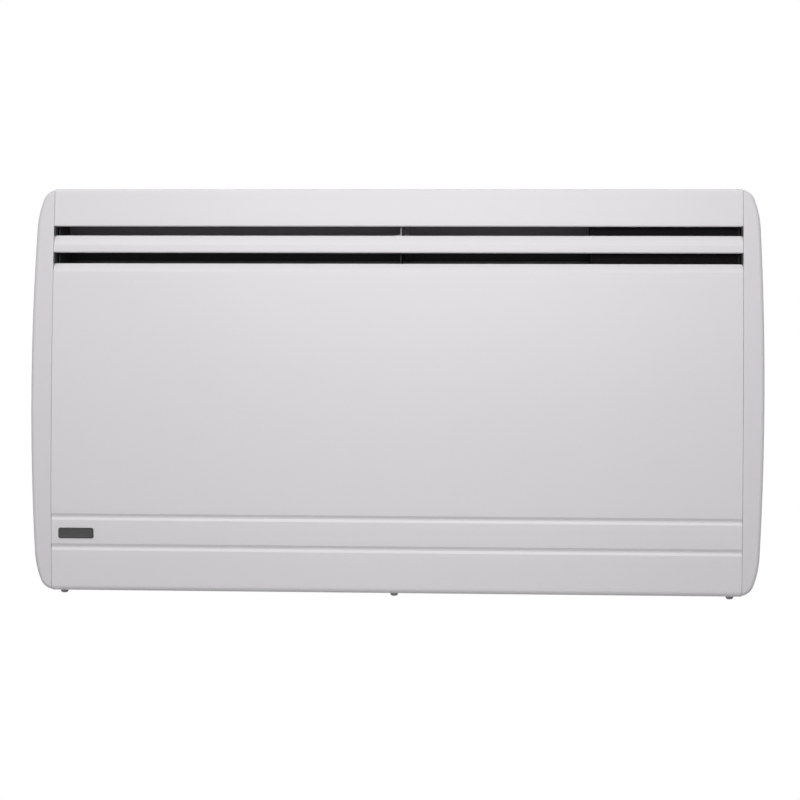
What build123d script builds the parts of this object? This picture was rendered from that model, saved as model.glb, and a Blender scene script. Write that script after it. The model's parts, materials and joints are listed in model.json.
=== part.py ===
from build123d import *
import math
import os

# A wall panel convector heater.
# X runs along the wall (right when seen from the front), Y towards the wall, Z up, in millimetres.
# The origin is the centre of the four wall screws, on the wall plane.

os.makedirs("parts", exist_ok=True)

# ---- overall size ----
WIDTH = 796.0
HEIGHT = 440.0
DEPTH = 95.0
PANEL_WIDTH = 750.0
FRONT_SAG = 10.0
SEAM_GAP = 0.6

# ---- sheets and walls ----
PANEL_SHEET = 1.0
CASING_SHEET = 0.8
INNER_SHEET = 1.0
BRACKET_SHEET = 1.5
SHIELD_SHEET = 0.5
CAP_WALL = 2.0

# ---- outlet louvres: heights on the front ----
HOOD_EDGE = 178.5
BAR_CREASE = 158.0
BAR_EDGE = 149.6
PANEL_CREASE = 128.8
LOUVRE_RISE = 9.8
LOUVRE_SET_BACK = 6.5
LOUVRE_LIP = 5.0
HOOD_LIP = 4.0

# ---- front panel folds ----
LIP_BACK_Y = -67.0
FLANGE_BACK_Y = -70.0
BOTTOM_ROUND = 6.0
TOP_ROUND = 4.0
CREASE_ROUND = 3.0
EDGE_ROUND = 1.5
PANEL_SCREW_X = (-363.0, 0.0, 363.0)
PANEL_SCREW_Y = -73.0
PANEL_SCREW_RADIUS = 2.1

# ---- pressed grooves near the foot of the front ----
GROOVE_HEIGHTS = (-172.5, -139.5)
GROOVE_DEPTH = 1.8
GROOVE_HALF = 3.6
GROOVE_FLOOR_HALF = 1.0
GROOVE_ROUND = 1.4

# ---- end caps ----
CAP_DROP = 0.8
CAP_SIDE_RADIUS = 3900.0
CAP_SHOULDER_Z = 177.5
CAP_SHOULDER_RADIUS = 100.0
CAP_SHOULDER_TURN = math.radians(18.5)
CAP_EDGE_ROUND = 4.0
CAP_MOUTH_Y = -71.0
CAP_BOSS_RADIUS = 4.0
CAP_BOSS_Y = -60.0
CAP_SCREW_X = 384.0
CAP_SCREW_Z = (-150.0, 150.0)
CAP_SCREW_RADIUS = 1.75

# ---- casing ----
BACK_Y = -18.0
TRAY_HALF = 372.0
TRAY_FRONT = -76.0
BEND_ROUND = 1.5
BEAD_HEIGHTS = (100.0, -100.0)
BEAD_DEPTH = 3.0
BEAD_HALF = 12.0
BEAD_FLOOR_HALF = 8.0
VENT_COUNT = 8
VENT_FIRST_X = 226.0
VENT_PITCH = 18.0
VENT_Y = -48.0
VENT_LENGTH = 34.0
VENT_WIDTH = 5.0

# ---- air inlet in the casing floor, with its slotted plate ----
INLET_LEFT = -345.0
INLET_RIGHT = 195.0
INLET_FRONT = -66.0
INLET_BACK = -26.0
INLET_LIFT = 8.0
INLET_SLOTS = 30
INLET_SLOT_WIDTH = 9.0

# ---- wall bracket, tilting hinge, catches and buffers ----
BRACKET_HALF = 220.0
BRACKET_TOP = 175.0
BRACKET_BOTTOM = -205.0
BRACKET_DEPTH = 15.0
WINDOW_WIDTH = 330.0
WINDOW_HEIGHT = 230.0
SCREW_X = 180.0
SCREW_Z = 150.0
SCREW_SLOT_RADIUS = 3.2
SCREW_SLOT_LENGTH = 8.0
HINGE_Y = -9.0
HINGE_Z = -190.0
HINGE_PIN_RADIUS = 2.5
HINGE_FIT = 0.05
SWING_CUT_Z = -196.0
BUFFER_X = 120.0
BUFFER_Z = 148.0
BUFFER_STEM_RADIUS = 3.0
BLADE_X = 210.0
BLADE_HALF = 0.6
BLADE_LOW = 142.0
BLADE_HIGH = 166.0

# ---- heat shield, deflector and stay ----
SHIELD_STAND = 11.0
SHIELD_LEFT = -364.0
SHIELD_RIGHT = 204.0
STAY_X = 5.1

# ---- heating element ----
ELEMENT_Y = -56.0
ELEMENT_Z = -70.0
ELEMENT_LEFT = -306.0
FIN_COUNT = 36
FIN_PITCH = 13.0
FIN_THICKNESS = 1.6
CORE_HALF = 6.5
ROD_RADIUS = 4.25
ROD_END_RUN = 24.0
HANGER_OUT = 14.0
HANGER_HOLE = 6.5
CUTOUT_X = 120.0
CUTOUT_Z = 24.0
CUTOUT_RIVET_OUT = 13.5

# ---- control compartment ----
COMPARTMENT_X = 211.0
LEAD_HOLES = ((-56.0, -70.0), (-26.0, -190.0))
LEAD_HOLE_RADIUS = 5.0
HOUSING_X = (228.0, 352.0)
HOUSING_Y = (-70.0, -22.0)
HOUSING_LOW = 150.0
HOUSING_WALL = 2.0
BOARD_Z = 186.0
BOARD_THICKNESS = 1.6
SENSOR_X = 232.0
SENSOR_Z = -206.0

# ---- supply connection ----
ENTRY_X = 320.0
ENTRY_Z = -140.0
ENTRY_HOLE = 9.0
CABLE_BORE = 4.0
CLAMP_Z = -172.0
CLAMP_SCREW_OUT = 12.0
CLAMP_DEPTH = 13.0
TERMINAL_X = 262.0
TERMINAL_Z = -140.0
TERMINAL_PITCH = 13.0
TERMINAL_DEPTH = 20.0
TERMINAL_HEIGHT = 22.0
EARTH_X = 345.0
EARTH_Z = -185.0
EARTH_STUD_RADIUS = 2.0
LEAD_RADIUS = 1.4
LEAD_SIDES = 8

# ---- control recess in the top ----
CONTROL_X = 290.0
CONTROL_Y = -45.0
RECESS_LENGTH = 108.0
RECESS_WIDTH = 34.0
RECESS_SINK = 11.0
PLATE_WALL = 1.5
KNOB_X = 320.0
KNOB_RADIUS = 12.0
KNOB_HEIGHT = 9.0
KNOB_NOTCHES = 12
SPINDLE_RADIUS = 3.0
SELECTOR_X = 288.0
SELECTOR_TRAVEL = 3.0
LENS_X = 273.0
ROCKER_X = 257.0
ROCKER_TILT = 11.0

# ---- values worked out from the ones above ----
TOP = HEIGHT / 2
PANEL_HALF = PANEL_WIDTH / 2 - SEAM_GAP / 2
CAP_INNER = PANEL_WIDTH / 2 + SEAM_GAP / 2
CAP_TOP = TOP - CAP_DROP
FRONT_RADIUS = (TOP**2 + FRONT_SAG**2) / (2 * FRONT_SAG)
CASING_TOP = TOP - PANEL_SHEET
INSIDE_Y = BACK_Y - CASING_SHEET
RETURN_UNDERSIDE = CASING_TOP - CASING_SHEET
PANEL_LOUVRE_Z = PANEL_CREASE + LOUVRE_RISE
BAR_LOUVRE_Z = BAR_CREASE + LOUVRE_RISE + 1.0
SHIELD_FACE = INSIDE_Y - SHIELD_STAND - SHIELD_SHEET
ELEMENT_RIGHT = ELEMENT_LEFT + (FIN_COUNT - 1) * FIN_PITCH
ROD_LEFT = ELEMENT_LEFT - ROD_END_RUN
ROD_RIGHT = ELEMENT_RIGHT + ROD_END_RUN
BOARD_TOP = BOARD_Z + BOARD_THICKNESS
RECESS_UNDERSIDE = CASING_TOP - RECESS_SINK
RECESS_FLOOR = RECESS_UNDERSIDE + PLATE_WALL
ROCKER_PIVOT_Z = RECESS_FLOOR + 0.3


def front_y(z):
    """Y of the bowed front at height z."""
    return -DEPTH + FRONT_RADIUS - math.sqrt(FRONT_RADIUS**2 - z**2)


def block(x0, x1, y0, y1, z0, z1):
    """Block between two opposite corners."""
    return Pos((x0 + x1) / 2, (y0 + y1) / 2, (z0 + z1) / 2) * Box(x1 - x0, y1 - y0, z1 - z0)


def pin(start, direction, radius, length):
    """Round pin from a start point."""
    return Solid.make_cylinder(radius, length, Plane(origin=start, z_dir=direction))


def outlined(*points):
    """Flat face with straight edges between its points."""
    return make_face(Polyline(*points, close=True))


def along_x(section, x0, x1):
    """Section drawn as (y, z), run from x0 to x1."""
    return extrude(Plane.YZ.offset(x0) * section, x1 - x0)


def along_y(section, y0, y1):
    """Section drawn as (x, z), run from y0 to y1."""
    return extrude(Plane.XZ.offset(-y1) * section, y1 - y0)


def along_z(section, z0, z1):
    """Section drawn as (x, y), run from z0 to z1."""
    return extrude(Plane.XY.offset(z0) * section, z1 - z0)


def folded(path, thickness, side):
    """Cross-section of a folded sheet from the line of one of its faces."""
    return make_face(offset(path, amount=thickness, kind=Kind.INTERSECTION, side=side, closed=True))


def turned(profile, start, direction):
    """Round piece: a profile drawn as (radius, height), turned about an axis."""
    solid = revolve(Plane.XZ * outlined(*profile), Axis.Z)
    return Plane(origin=start, z_dir=direction) * solid


def pan_screw(seat, outward, shank, length, head, height):
    """Pan-head screw: the domed head stands outward from its seat, the plain shank goes in."""
    profile = [
        (0.0, -length), (shank, -length), (shank, 0.0), (head, 0.0),
        (head * 0.94, height * 0.45), (head * 0.74, height * 0.82), (head * 0.4, height), (0.0, height),
    ]
    return turned(profile, seat, outward)


def both_sides(piece):
    """A piece on the right and its mirror image on the left."""
    return [piece, mirror(piece, about=Plane.YZ)]


def front_arc(z0, z1):
    """Line of the bowed front between two heights."""
    middle = (z0 + z1) / 2
    return ThreePointArc((front_y(z0), z0), (front_y(middle), middle), (front_y(z1), z1))


def behind_arc(reach, rear, inset):
    """Face drawn as (y, z): from the bowed front, set back by an inset, to a rear line."""
    side_y = front_y(reach) + inset
    arc = ThreePointArc((side_y, -reach), (inset - DEPTH, 0.0), (side_y, reach))
    back = Polyline((side_y, reach), (rear, reach), (rear, -reach), (side_y, -reach))
    return make_face(arc.edges() + back.edges())


def round_corner(wire, corner, radius):
    """Rounds the vertex of a flat wire that lies at a corner."""
    nearest = wire.vertices().sort_by_distance(Vector(*corner))[0]
    return wire.fillet_2d(radius, [nearest])


# ---------------------------------------------------------------- front panel

def groove_points(z):
    """Outline of one pressed groove, from its lower to its upper shoulder."""
    floor_y = front_y(z) + GROOVE_DEPTH
    return [
        (front_y(z - GROOVE_HALF), z - GROOVE_HALF),
        (floor_y, z - GROOVE_FLOOR_HALF),
        (floor_y, z + GROOVE_FLOOR_HALF),
        (front_y(z + GROOVE_HALF), z + GROOVE_HALF),
    ]


def lower_panel_section():
    """Bottom lip, bowed front with two grooves, and the set-back louvre edge."""
    edges = [Line((LIP_BACK_Y, -TOP), (front_y(-TOP), -TOP))]
    level = -TOP
    for z in GROOVE_HEIGHTS:
        edges.append(front_arc(level, z - GROOVE_HALF))
        edges.extend(Polyline(*groove_points(z)).edges())
        level = z + GROOVE_HALF
    edges.append(front_arc(level, PANEL_CREASE))
    louvre_y = front_y(PANEL_CREASE) + LOUVRE_SET_BACK
    edges.append(Line((front_y(PANEL_CREASE), PANEL_CREASE), (louvre_y, PANEL_LOUVRE_Z)))
    edges.append(Line((louvre_y, PANEL_LOUVRE_Z), (louvre_y + LOUVRE_LIP, PANEL_LOUVRE_Z)))
    wire = Wire(edges)
    wire = round_corner(wire, (front_y(-TOP), -TOP), BOTTOM_ROUND)
    wire = round_corner(wire, (front_y(PANEL_CREASE), PANEL_CREASE), CREASE_ROUND)
    wire = round_corner(wire, (louvre_y, PANEL_LOUVRE_Z), EDGE_ROUND)
    for z in GROOVE_HEIGHTS:
        for corner in groove_points(z):
            wire = round_corner(wire, corner, GROOVE_ROUND)
    return folded(wire, PANEL_SHEET, Side.RIGHT)


def bar_section():
    """Louvre bar between the two outlet slots."""
    louvre_y = front_y(BAR_CREASE) + LOUVRE_SET_BACK
    wire = Wire([
        Line((front_y(BAR_EDGE) + LOUVRE_LIP, BAR_EDGE), (front_y(BAR_EDGE), BAR_EDGE)),
        front_arc(BAR_EDGE, BAR_CREASE),
        Line((front_y(BAR_CREASE), BAR_CREASE), (louvre_y, BAR_LOUVRE_Z)),
        Line((louvre_y, BAR_LOUVRE_Z), (louvre_y + LOUVRE_LIP, BAR_LOUVRE_Z)),
    ])
    wire = round_corner(wire, (front_y(BAR_EDGE), BAR_EDGE), EDGE_ROUND)
    wire = round_corner(wire, (front_y(BAR_CREASE), BAR_CREASE), CREASE_ROUND)
    wire = round_corner(wire, (louvre_y, BAR_LOUVRE_Z), EDGE_ROUND)
    return folded(wire, PANEL_SHEET, Side.RIGHT)


def hood_section():
    """Band above the slots and the top lip that laps over the casing."""
    wire = Wire([
        Line((front_y(HOOD_EDGE) + HOOD_LIP, HOOD_EDGE), (front_y(HOOD_EDGE), HOOD_EDGE)),
        front_arc(HOOD_EDGE, TOP),
        Line((front_y(TOP), TOP), (LIP_BACK_Y, TOP)),
    ])
    wire = round_corner(wire, (front_y(HOOD_EDGE), HOOD_EDGE), EDGE_ROUND)
    wire = round_corner(wire, (front_y(TOP), TOP), TOP_ROUND)
    return folded(wire, PANEL_SHEET, Side.RIGHT)


def side_flange():
    """Right-hand flange behind the front, from bottom lip to top lip."""
    inset = PANEL_SHEET / 2
    flange = along_x(behind_arc(TOP - inset, FLANGE_BACK_Y, inset), PANEL_HALF - PANEL_SHEET, PANEL_HALF)
    for z in GROOVE_HEIGHTS:
        mouth = [(-DEPTH - 2.0, z + GROOVE_HALF), (-DEPTH - 2.0, z - GROOVE_HALF)]
        flange -= along_x(outlined(*groove_points(z), *mouth), PANEL_HALF - 2.0, PANEL_HALF + 1.0)
    return flange


def front_panel():
    lower = along_x(lower_panel_section(), -PANEL_HALF, PANEL_HALF)
    bar = along_x(bar_section(), -PANEL_HALF, PANEL_HALF)
    hood = along_x(hood_section(), -PANEL_HALF, PANEL_HALF)
    panel = lower + bar + hood
    for flange in both_sides(side_flange()):
        panel += flange
    for x in PANEL_SCREW_X:
        panel -= pin((x, PANEL_SCREW_Y, -TOP - 1.0), (0, 0, 1), PANEL_SCREW_RADIUS, 3.0)
    return panel


def panel_screws():
    """Screws under the bottom lip that hold the panel to the casing."""
    return Compound([
        pan_screw((x, PANEL_SCREW_Y, -TOP), (0, 0, -1), PANEL_SCREW_RADIUS, 9.0, 4.4, 4.0)
        for x in PANEL_SCREW_X
    ])


# ---------------------------------------------------------------- end caps

def cap_arcs():
    """Centre, radius and end angles of the side, shoulder and corner arcs, each tangent to the next."""
    side_end = math.asin(CAP_SHOULDER_Z / CAP_SIDE_RADIUS)
    shoulder_end = side_end + CAP_SHOULDER_TURN
    arcs = [(WIDTH / 2 - CAP_SIDE_RADIUS, 0.0, CAP_SIDE_RADIUS, 0.0, side_end)]
    reach = CAP_SIDE_RADIUS - CAP_SHOULDER_RADIUS
    x = arcs[0][0] + reach * math.cos(side_end)
    z = reach * math.sin(side_end)
    arcs.append((x, z, CAP_SHOULDER_RADIUS, side_end, shoulder_end))
    corner = (CAP_TOP - z - CAP_SHOULDER_RADIUS * math.sin(shoulder_end)) / (1 - math.sin(shoulder_end))
    reach = CAP_SHOULDER_RADIUS - corner
    x += reach * math.cos(shoulder_end)
    z += reach * math.sin(shoulder_end)
    arcs.append((x, z, corner, shoulder_end, math.pi / 2))
    return arcs


def cap_outline(inset):
    """Front view of the right-hand cap: barrel side, shoulders and rounded corners, set in all round."""
    inner, top = CAP_INNER - 10.0, CAP_TOP - inset
    edges = []
    for x, z, radius, start, end in cap_arcs():
        on_arc = [
            (x + (radius - inset) * math.cos(angle), z + (radius - inset) * math.sin(angle))
            for angle in (start, (start + end) / 2, end)
        ]
        edges.append(ThreePointArc(*on_arc))
        edges.append(ThreePointArc(*[(across, -height) for across, height in on_arc]))
        last_x = on_arc[2][0]
    edges.extend(Polyline((last_x, top), (inner, top), (inner, -top), (last_x, -top)).edges())
    return make_face(Wire(edges))


def cap_body(inner, inset, rear):
    """Cap-shaped block from the bowed front back to a rear plane."""
    behind_front = along_x(behind_arc(TOP + 5.0, 0.0, inset), inner, WIDTH / 2 + 10.0)
    return along_y(cap_outline(inset), -DEPTH - 5.0, rear) & behind_front


def end_cap():
    """Right-hand moulded cap: hollow, open to the rear and to the casing, with two screw bosses."""
    shell = cap_body(CAP_INNER, 0.0, INSIDE_Y)
    rim = [edge for edge in shell.edges() if edge.center().X > CAP_INNER + 1.0 and edge.center().Y < -80.0]
    shell = fillet(rim, CAP_EDGE_ROUND)
    hollow = cap_body(CAP_INNER + CAP_WALL, CAP_WALL, INSIDE_Y + 1.0)
    mouth = cap_body(CAP_INNER - 1.0, CAP_WALL, INSIDE_Y + 1.0)
    mouth &= block(CAP_INNER - 2.0, WIDTH / 2, CAP_MOUTH_Y, 0.0, -TOP, TOP)
    cap = shell - hollow - mouth
    for z in CAP_SCREW_Z:
        boss = pin((CAP_SCREW_X, CAP_BOSS_Y, z), (0, 1, 0), CAP_BOSS_RADIUS, INSIDE_Y - CAP_BOSS_Y)
        rib = block(CAP_SCREW_X + 2.0, WIDTH / 2 - 1.0, CAP_BOSS_Y, INSIDE_Y, z - 1.0, z + 1.0)
        cap += boss + (rib & shell)
        cap -= pin((CAP_SCREW_X, -40.0, z), (0, 1, 0), CAP_SCREW_RADIUS, 30.0)
    return cap


def cap_screws():
    """Screws through the back of the casing into the bosses of the caps."""
    screws = []
    for z in CAP_SCREW_Z:
        screw = pan_screw((CAP_SCREW_X, BACK_Y, z), (0, 1, 0), CAP_SCREW_RADIUS, 14.0, 3.4, 2.4)
        screws += both_sides(screw)
    return Compound(screws)


# ---------------------------------------------------------------- rear casing

def casing_section():
    """Top return, back with two stiffening beads, and the short return behind the air inlet."""
    points = [(TRAY_FRONT, CASING_TOP), (BACK_Y, CASING_TOP)]
    for z in BEAD_HEIGHTS:
        points.append((BACK_Y, z + BEAD_HALF))
        points.append((BACK_Y - BEAD_DEPTH, z + BEAD_FLOOR_HALF))
        points.append((BACK_Y - BEAD_DEPTH, z - BEAD_FLOOR_HALF))
        points.append((BACK_Y, z - BEAD_HALF))
    points.append((BACK_Y, -RETURN_UNDERSIDE))
    points.append((INLET_BACK, -RETURN_UNDERSIDE))
    return folded(FilletPolyline(*points, radius=BEND_ROUND), CASING_SHEET, Side.RIGHT)


def recess_span(centre, length, clearance):
    """Both ends of the control recess along one axis."""
    half = length / 2 + clearance
    return centre - half, centre + half


def rear_casing():
    """Folded back sheet with ears that close the backs of the end caps."""
    casing = along_x(casing_section(), -TRAY_HALF, TRAY_HALF)
    ear_zone = block(TRAY_HALF - 1.0, WIDTH, -50.0, 0.0, -TOP, TOP)
    for ear in both_sides(along_y(cap_outline(1.0), INSIDE_Y, BACK_Y) & ear_zone):
        casing += ear
    recess_x = recess_span(CONTROL_X, RECESS_LENGTH, 0.2)
    recess_y = recess_span(CONTROL_Y, RECESS_WIDTH, 0.2)
    casing -= block(*recess_x, *recess_y, TOP - 4.0, TOP)
    casing -= pin((ENTRY_X, -25.0, ENTRY_Z), (0, 1, 0), ENTRY_HOLE, 10.0)
    casing -= pin((EARTH_X, -25.0, EARTH_Z), (0, 1, 0), EARTH_STUD_RADIUS, 10.0)
    for z in CAP_SCREW_Z:
        for hole in both_sides(pin((CAP_SCREW_X, -25.0, z), (0, 1, 0), CAP_SCREW_RADIUS, 10.0)):
            casing -= hole
    return casing


def casing_floor():
    """Floor strips that leave the air inlet free: front rail, left end and vented right end."""
    low, high = -CASING_TOP, -RETURN_UNDERSIDE
    rail = block(-TRAY_HALF, TRAY_HALF, TRAY_FRONT, INLET_FRONT, low, high)
    for x in PANEL_SCREW_X:
        rail -= pin((x, PANEL_SCREW_Y, low - 1.0), (0, 0, 1), PANEL_SCREW_RADIUS, 4.0)
    left_end = block(-TRAY_HALF, INLET_LEFT, INLET_FRONT, BACK_Y, low, high)
    right_end = block(INLET_RIGHT, TRAY_HALF, INLET_FRONT, BACK_Y, low, high)
    for number in range(VENT_COUNT):
        vent = Box(VENT_WIDTH, VENT_LENGTH, 4.0)
        right_end -= Pos(VENT_FIRST_X + VENT_PITCH * number, VENT_Y, low) * vent
    return Compound([rail, left_end, right_end])


def cross_sheet(x, thickness, foot_way):
    """Upright sheet across the casing channel, with a foot against the back between the beads."""
    front, end, nick = TRAY_FRONT + 1.0, RETURN_UNDERSIDE, 2.0
    lower_nick = INSIDE_Y - INLET_BACK + 1.5
    upper = [(INSIDE_Y, end - nick), (INSIDE_Y - nick, end), (front, end)]
    lower = [(front, -end), (INSIDE_Y - lower_nick, -end), (INSIDE_Y, lower_nick - end)]
    sheet = along_x(outlined(*lower, *upper), x, x + thickness)
    foot_x = (x, x + thickness + 5.0) if foot_way > 0 else (x - 5.0, x + thickness)
    sheet += block(*foot_x, INSIDE_Y - thickness, INSIDE_Y, -80.0, 80.0)
    for z in BEAD_HEIGHTS:
        reach = BEAD_HALF + 2.0
        sheet -= block(x - 1.0, x + thickness + 1.0, INSIDE_Y - BEAD_DEPTH - 0.5, 0.0, z - reach, z + reach)
    return sheet


def end_plate():
    """Right-hand end plate that closes the casing channel inside the cap."""
    return cross_sheet(TRAY_HALF - CASING_SHEET, CASING_SHEET, -1)


def inlet_grille():
    """Slotted air inlet plate on two turned-down feet, one on the front rail, one on the return."""
    low = -RETURN_UNDERSIDE
    plate_z = low + INLET_LIFT
    back, front = INLET_BACK + 3.0, INLET_FRONT - 3.0
    path = FilletPolyline(
        (back, low + CASING_SHEET), (back, plate_z), (front, plate_z), (front, low), radius=1.0)
    grille = along_x(folded(path, CASING_SHEET, Side.LEFT), INLET_LEFT - 6.0, INLET_RIGHT + 6.0)
    pitch = (INLET_RIGHT - INLET_LEFT) / INLET_SLOTS
    length = INLET_BACK - INLET_FRONT - 6.0
    for number in range(INLET_SLOTS):
        slot = Box(INLET_SLOT_WIDTH, length, 4.0)
        grille -= Pos(INLET_LEFT + pitch * (number + 0.5), (INLET_BACK + INLET_FRONT) / 2, plate_z) * slot
    return grille


# ---------------------------------------------------------------- wall bracket

def wall_bracket():
    """Pressed frame with folded sides, screwed flat to the wall."""
    path = FilletPolyline(
        (-BRACKET_HALF, -BRACKET_DEPTH), (-BRACKET_HALF, 0.0),
        (BRACKET_HALF, 0.0), (BRACKET_HALF, -BRACKET_DEPTH), radius=2.5,
    )
    bracket = along_z(folded(path, BRACKET_SHEET, Side.RIGHT), BRACKET_BOTTOM, BRACKET_TOP)
    bracket -= along_y(RectangleRounded(WINDOW_WIDTH, WINDOW_HEIGHT, 20.0), -5.0, 1.0)
    waist = block(BRACKET_HALF - 3.0, BRACKET_HALF + 1.0, -BRACKET_DEPTH - 1.0, -6.0, -160.0, 120.0)
    swing = outlined(
        (-BRACKET_DEPTH - 1.0, SWING_CUT_Z + 1.0), (-BRACKET_DEPTH - 1.0, BRACKET_BOTTOM - 1.0),
        (HINGE_Y + 1.0, BRACKET_BOTTOM - 1.0),
    )
    swing_room = along_x(swing, BRACKET_HALF - 3.0, BRACKET_HALF + 1.0)
    for cut in both_sides(waist) + both_sides(swing_room):
        bracket -= cut
    slot = SlotCenterToCenter(SCREW_SLOT_LENGTH - 2 * SCREW_SLOT_RADIUS, 2 * SCREW_SLOT_RADIUS)
    for x in (-SCREW_X, SCREW_X):
        for z in (-SCREW_Z, SCREW_Z):
            bracket -= along_y(Pos(x, z) * slot, -5.0, 1.0)
    for x, z in buffer_places():
        bracket -= pin((x, -5.0, z), (0, 1, 0), BUFFER_STEM_RADIUS, 6.0)
    for hole in both_sides(pin((BRACKET_HALF - 4.0, HINGE_Y, HINGE_Z), (1, 0, 0), HINGE_PIN_RADIUS, 8.0)):
        bracket -= hole
    return bracket


def hinge_pins():
    """Shouldered pins fixed in the bracket sides, on which the heater tilts."""
    shoulder, reach = 2.0, 5.5
    profile = [
        (0.0, -shoulder), (4.5, -shoulder), (4.5, 0.0),
        (HINGE_PIN_RADIUS, 0.0), (HINGE_PIN_RADIUS, reach), (0.0, reach),
    ]
    start = (BRACKET_HALF - BRACKET_SHEET, HINGE_Y, HINGE_Z)
    return Compound(both_sides(turned(profile, start, (1, 0, 0))))


def hinge_ears():
    """Ears on the back of the casing that turn on the pins."""
    face = BRACKET_HALF + 0.3
    low, high = HINGE_Z - 12.0, HINGE_Z + 18.0
    eye = Pos(HINGE_Y, HINGE_Z) * Circle(6.0)
    arm = outlined((BACK_Y, high), (BACK_Y, low), (HINGE_Y, HINGE_Z - 6.0), (HINGE_Y, HINGE_Z + 6.0))
    ear = along_x(eye + arm, face, face + BRACKET_SHEET)
    ear += block(face, face + 20.0, BACK_Y, BACK_Y + BRACKET_SHEET, low, high)
    ear -= pin((face - 2.0, HINGE_Y, HINGE_Z), (1, 0, 0), HINGE_PIN_RADIUS + HINGE_FIT, 6.0)
    return Compound(both_sides(ear))


def latch_blades():
    """Blades on the back of the casing that slide between the catch springs."""
    tip_y, sheet = -4.5, 1.2
    blade = block(BLADE_X - BLADE_HALF, BLADE_X + BLADE_HALF, BACK_Y, tip_y, BLADE_LOW, BLADE_HIGH)
    blade += block(BLADE_X - 14.0, BLADE_X + BLADE_HALF, BACK_Y, BACK_Y + sheet, BLADE_LOW, BLADE_HIGH)
    tip = [edge for edge in blade.edges().filter_by(Axis.X) if edge.center().Y > tip_y - 0.5]
    return Compound(both_sides(chamfer(tip, 4.0)))


def catch_springs():
    """Spring clips on the bracket that grip the blades."""
    leaf = 0.8
    gap = BLADE_HALF + 0.1
    low, high = BLADE_LOW + 4.0, BLADE_HIGH - 4.0
    base = -BRACKET_SHEET - leaf
    path = FilletPolyline(
        (BLADE_X + gap + 2.5, -14.5), (BLADE_X + gap, -12.0), (BLADE_X + gap, base),
        (BLADE_X - gap, base), (BLADE_X - gap, -12.0), (BLADE_X - gap - 2.5, -14.5),
        radius=0.3,
    )
    clip = along_z(folded(path, leaf, Side.RIGHT), low, high)
    clip += block(BLADE_X - 18.0, BLADE_X - gap, base, -BRACKET_SHEET, low, high)
    return Compound(both_sides(clip))


def buffer_places():
    """Centres of the four buffers on the bracket."""
    return [(x, z) for x in (-BUFFER_X, BUFFER_X) for z in (-BUFFER_Z, BUFFER_Z)]


def wall_buffers():
    """Rubber buffers on the bracket that the heater rests against."""
    face = -BACK_Y - 0.2
    profile = [
        (0.0, 0.0), (BUFFER_STEM_RADIUS, 0.0), (BUFFER_STEM_RADIUS, BRACKET_SHEET),
        (8.0, BRACKET_SHEET), (6.5, face), (0.0, face),
    ]
    return Compound([turned(profile, (x, 0.0, z), (0, -1, 0)) for x, z in buffer_places()])


# ---------------------------------------------------------------- air path

def heat_shield():
    """Bright sheet behind the element, on two flanges against the back."""
    stand_y = INSIDE_Y - SHIELD_STAND
    path = FilletPolyline(
        (INSIDE_Y, -168.0), (INSIDE_Y, -152.0), (stand_y, -146.0),
        (stand_y, 112.0), (INSIDE_Y, 120.0), (INSIDE_Y, 136.0), radius=1.5,
    )
    return along_x(folded(path, SHIELD_SHEET, Side.LEFT), SHIELD_LEFT, SHIELD_RIGHT)


def outlet_deflector():
    """Curved sheet that turns the warm air forward to the slots."""
    path = FilletPolyline(
        (INSIDE_Y, 146.0), (INSIDE_Y, 178.0),
        (-52.0, RETURN_UNDERSIDE), (TRAY_FRONT + 2.0, RETURN_UNDERSIDE),
        radius=[40.0, 20.0],
    )
    return along_x(folded(path, CASING_SHEET, Side.LEFT), -TRAY_HALF + CASING_SHEET, COMPARTMENT_X)


def centre_stay():
    """Upright web that ties the louvre bar and the panel edge to the deflector."""
    side_x = STAY_X + INNER_SHEET
    rear_y = INSIDE_Y - CASING_SHEET
    front = front_y(BAR_CREASE) + LOUVRE_SET_BACK + LOUVRE_LIP + 0.1
    web = block(STAY_X, side_x, front, -36.0, 126.0, 188.0)
    web += block(STAY_X, side_x, -36.0, rear_y, 148.0, 160.0)
    web += block(STAY_X, STAY_X + 8.0, rear_y - INNER_SHEET, rear_y, 148.0, 160.0)
    web += block(STAY_X, STAY_X + 6.4, -37.0, -36.0, 172.0, 183.0)
    for edge_z, crease in ((BAR_LOUVRE_Z, BAR_CREASE), (PANEL_LOUVRE_Z, PANEL_CREASE)):
        lip_y = front_y(crease) + LOUVRE_SET_BACK + 0.6
        foot = outlined((side_x, lip_y), (STAY_X, lip_y), (STAY_X - 7.0, front), (side_x, front))
        web += along_z(foot, edge_z, edge_z + INNER_SHEET)
        web += block(STAY_X, side_x, lip_y, front + 1.0, edge_z, edge_z + 8.0)
    return web


# ---------------------------------------------------------------- heating element

def fin_outline():
    """X-shaped fin, drawn about the heating rod."""
    quarter = [(7.0, 0.0), (20.0, 32.0), (14.0, 35.0), (0.0, 12.0)]
    points = quarter + [(-y, z) for y, z in reversed(quarter[:-1])]
    points += [(-y, -z) for y, z in quarter[1:]]
    points += [(y, -z) for y, z in reversed(quarter[1:-1])]
    return outlined(*points)


def heating_element():
    """Cast aluminium core with cross fins, bored for the steel rod."""
    centre = Pos(ELEMENT_Y, ELEMENT_Z)
    core = along_x(centre * Rectangle(2 * CORE_HALF, 2 * CORE_HALF), ELEMENT_LEFT - 4.0, ELEMENT_RIGHT + 4.0)
    fins = []
    for number in range(FIN_COUNT):
        x = ELEMENT_LEFT + number * FIN_PITCH
        fins.append(along_x(centre * fin_outline(), x - FIN_THICKNESS / 2, x + FIN_THICKNESS / 2))
    element = core.fuse(*fins)
    return element - pin((ROD_LEFT, ELEMENT_Y, ELEMENT_Z), (1, 0, 0), ROD_RADIUS, ROD_RIGHT - ROD_LEFT)


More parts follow.
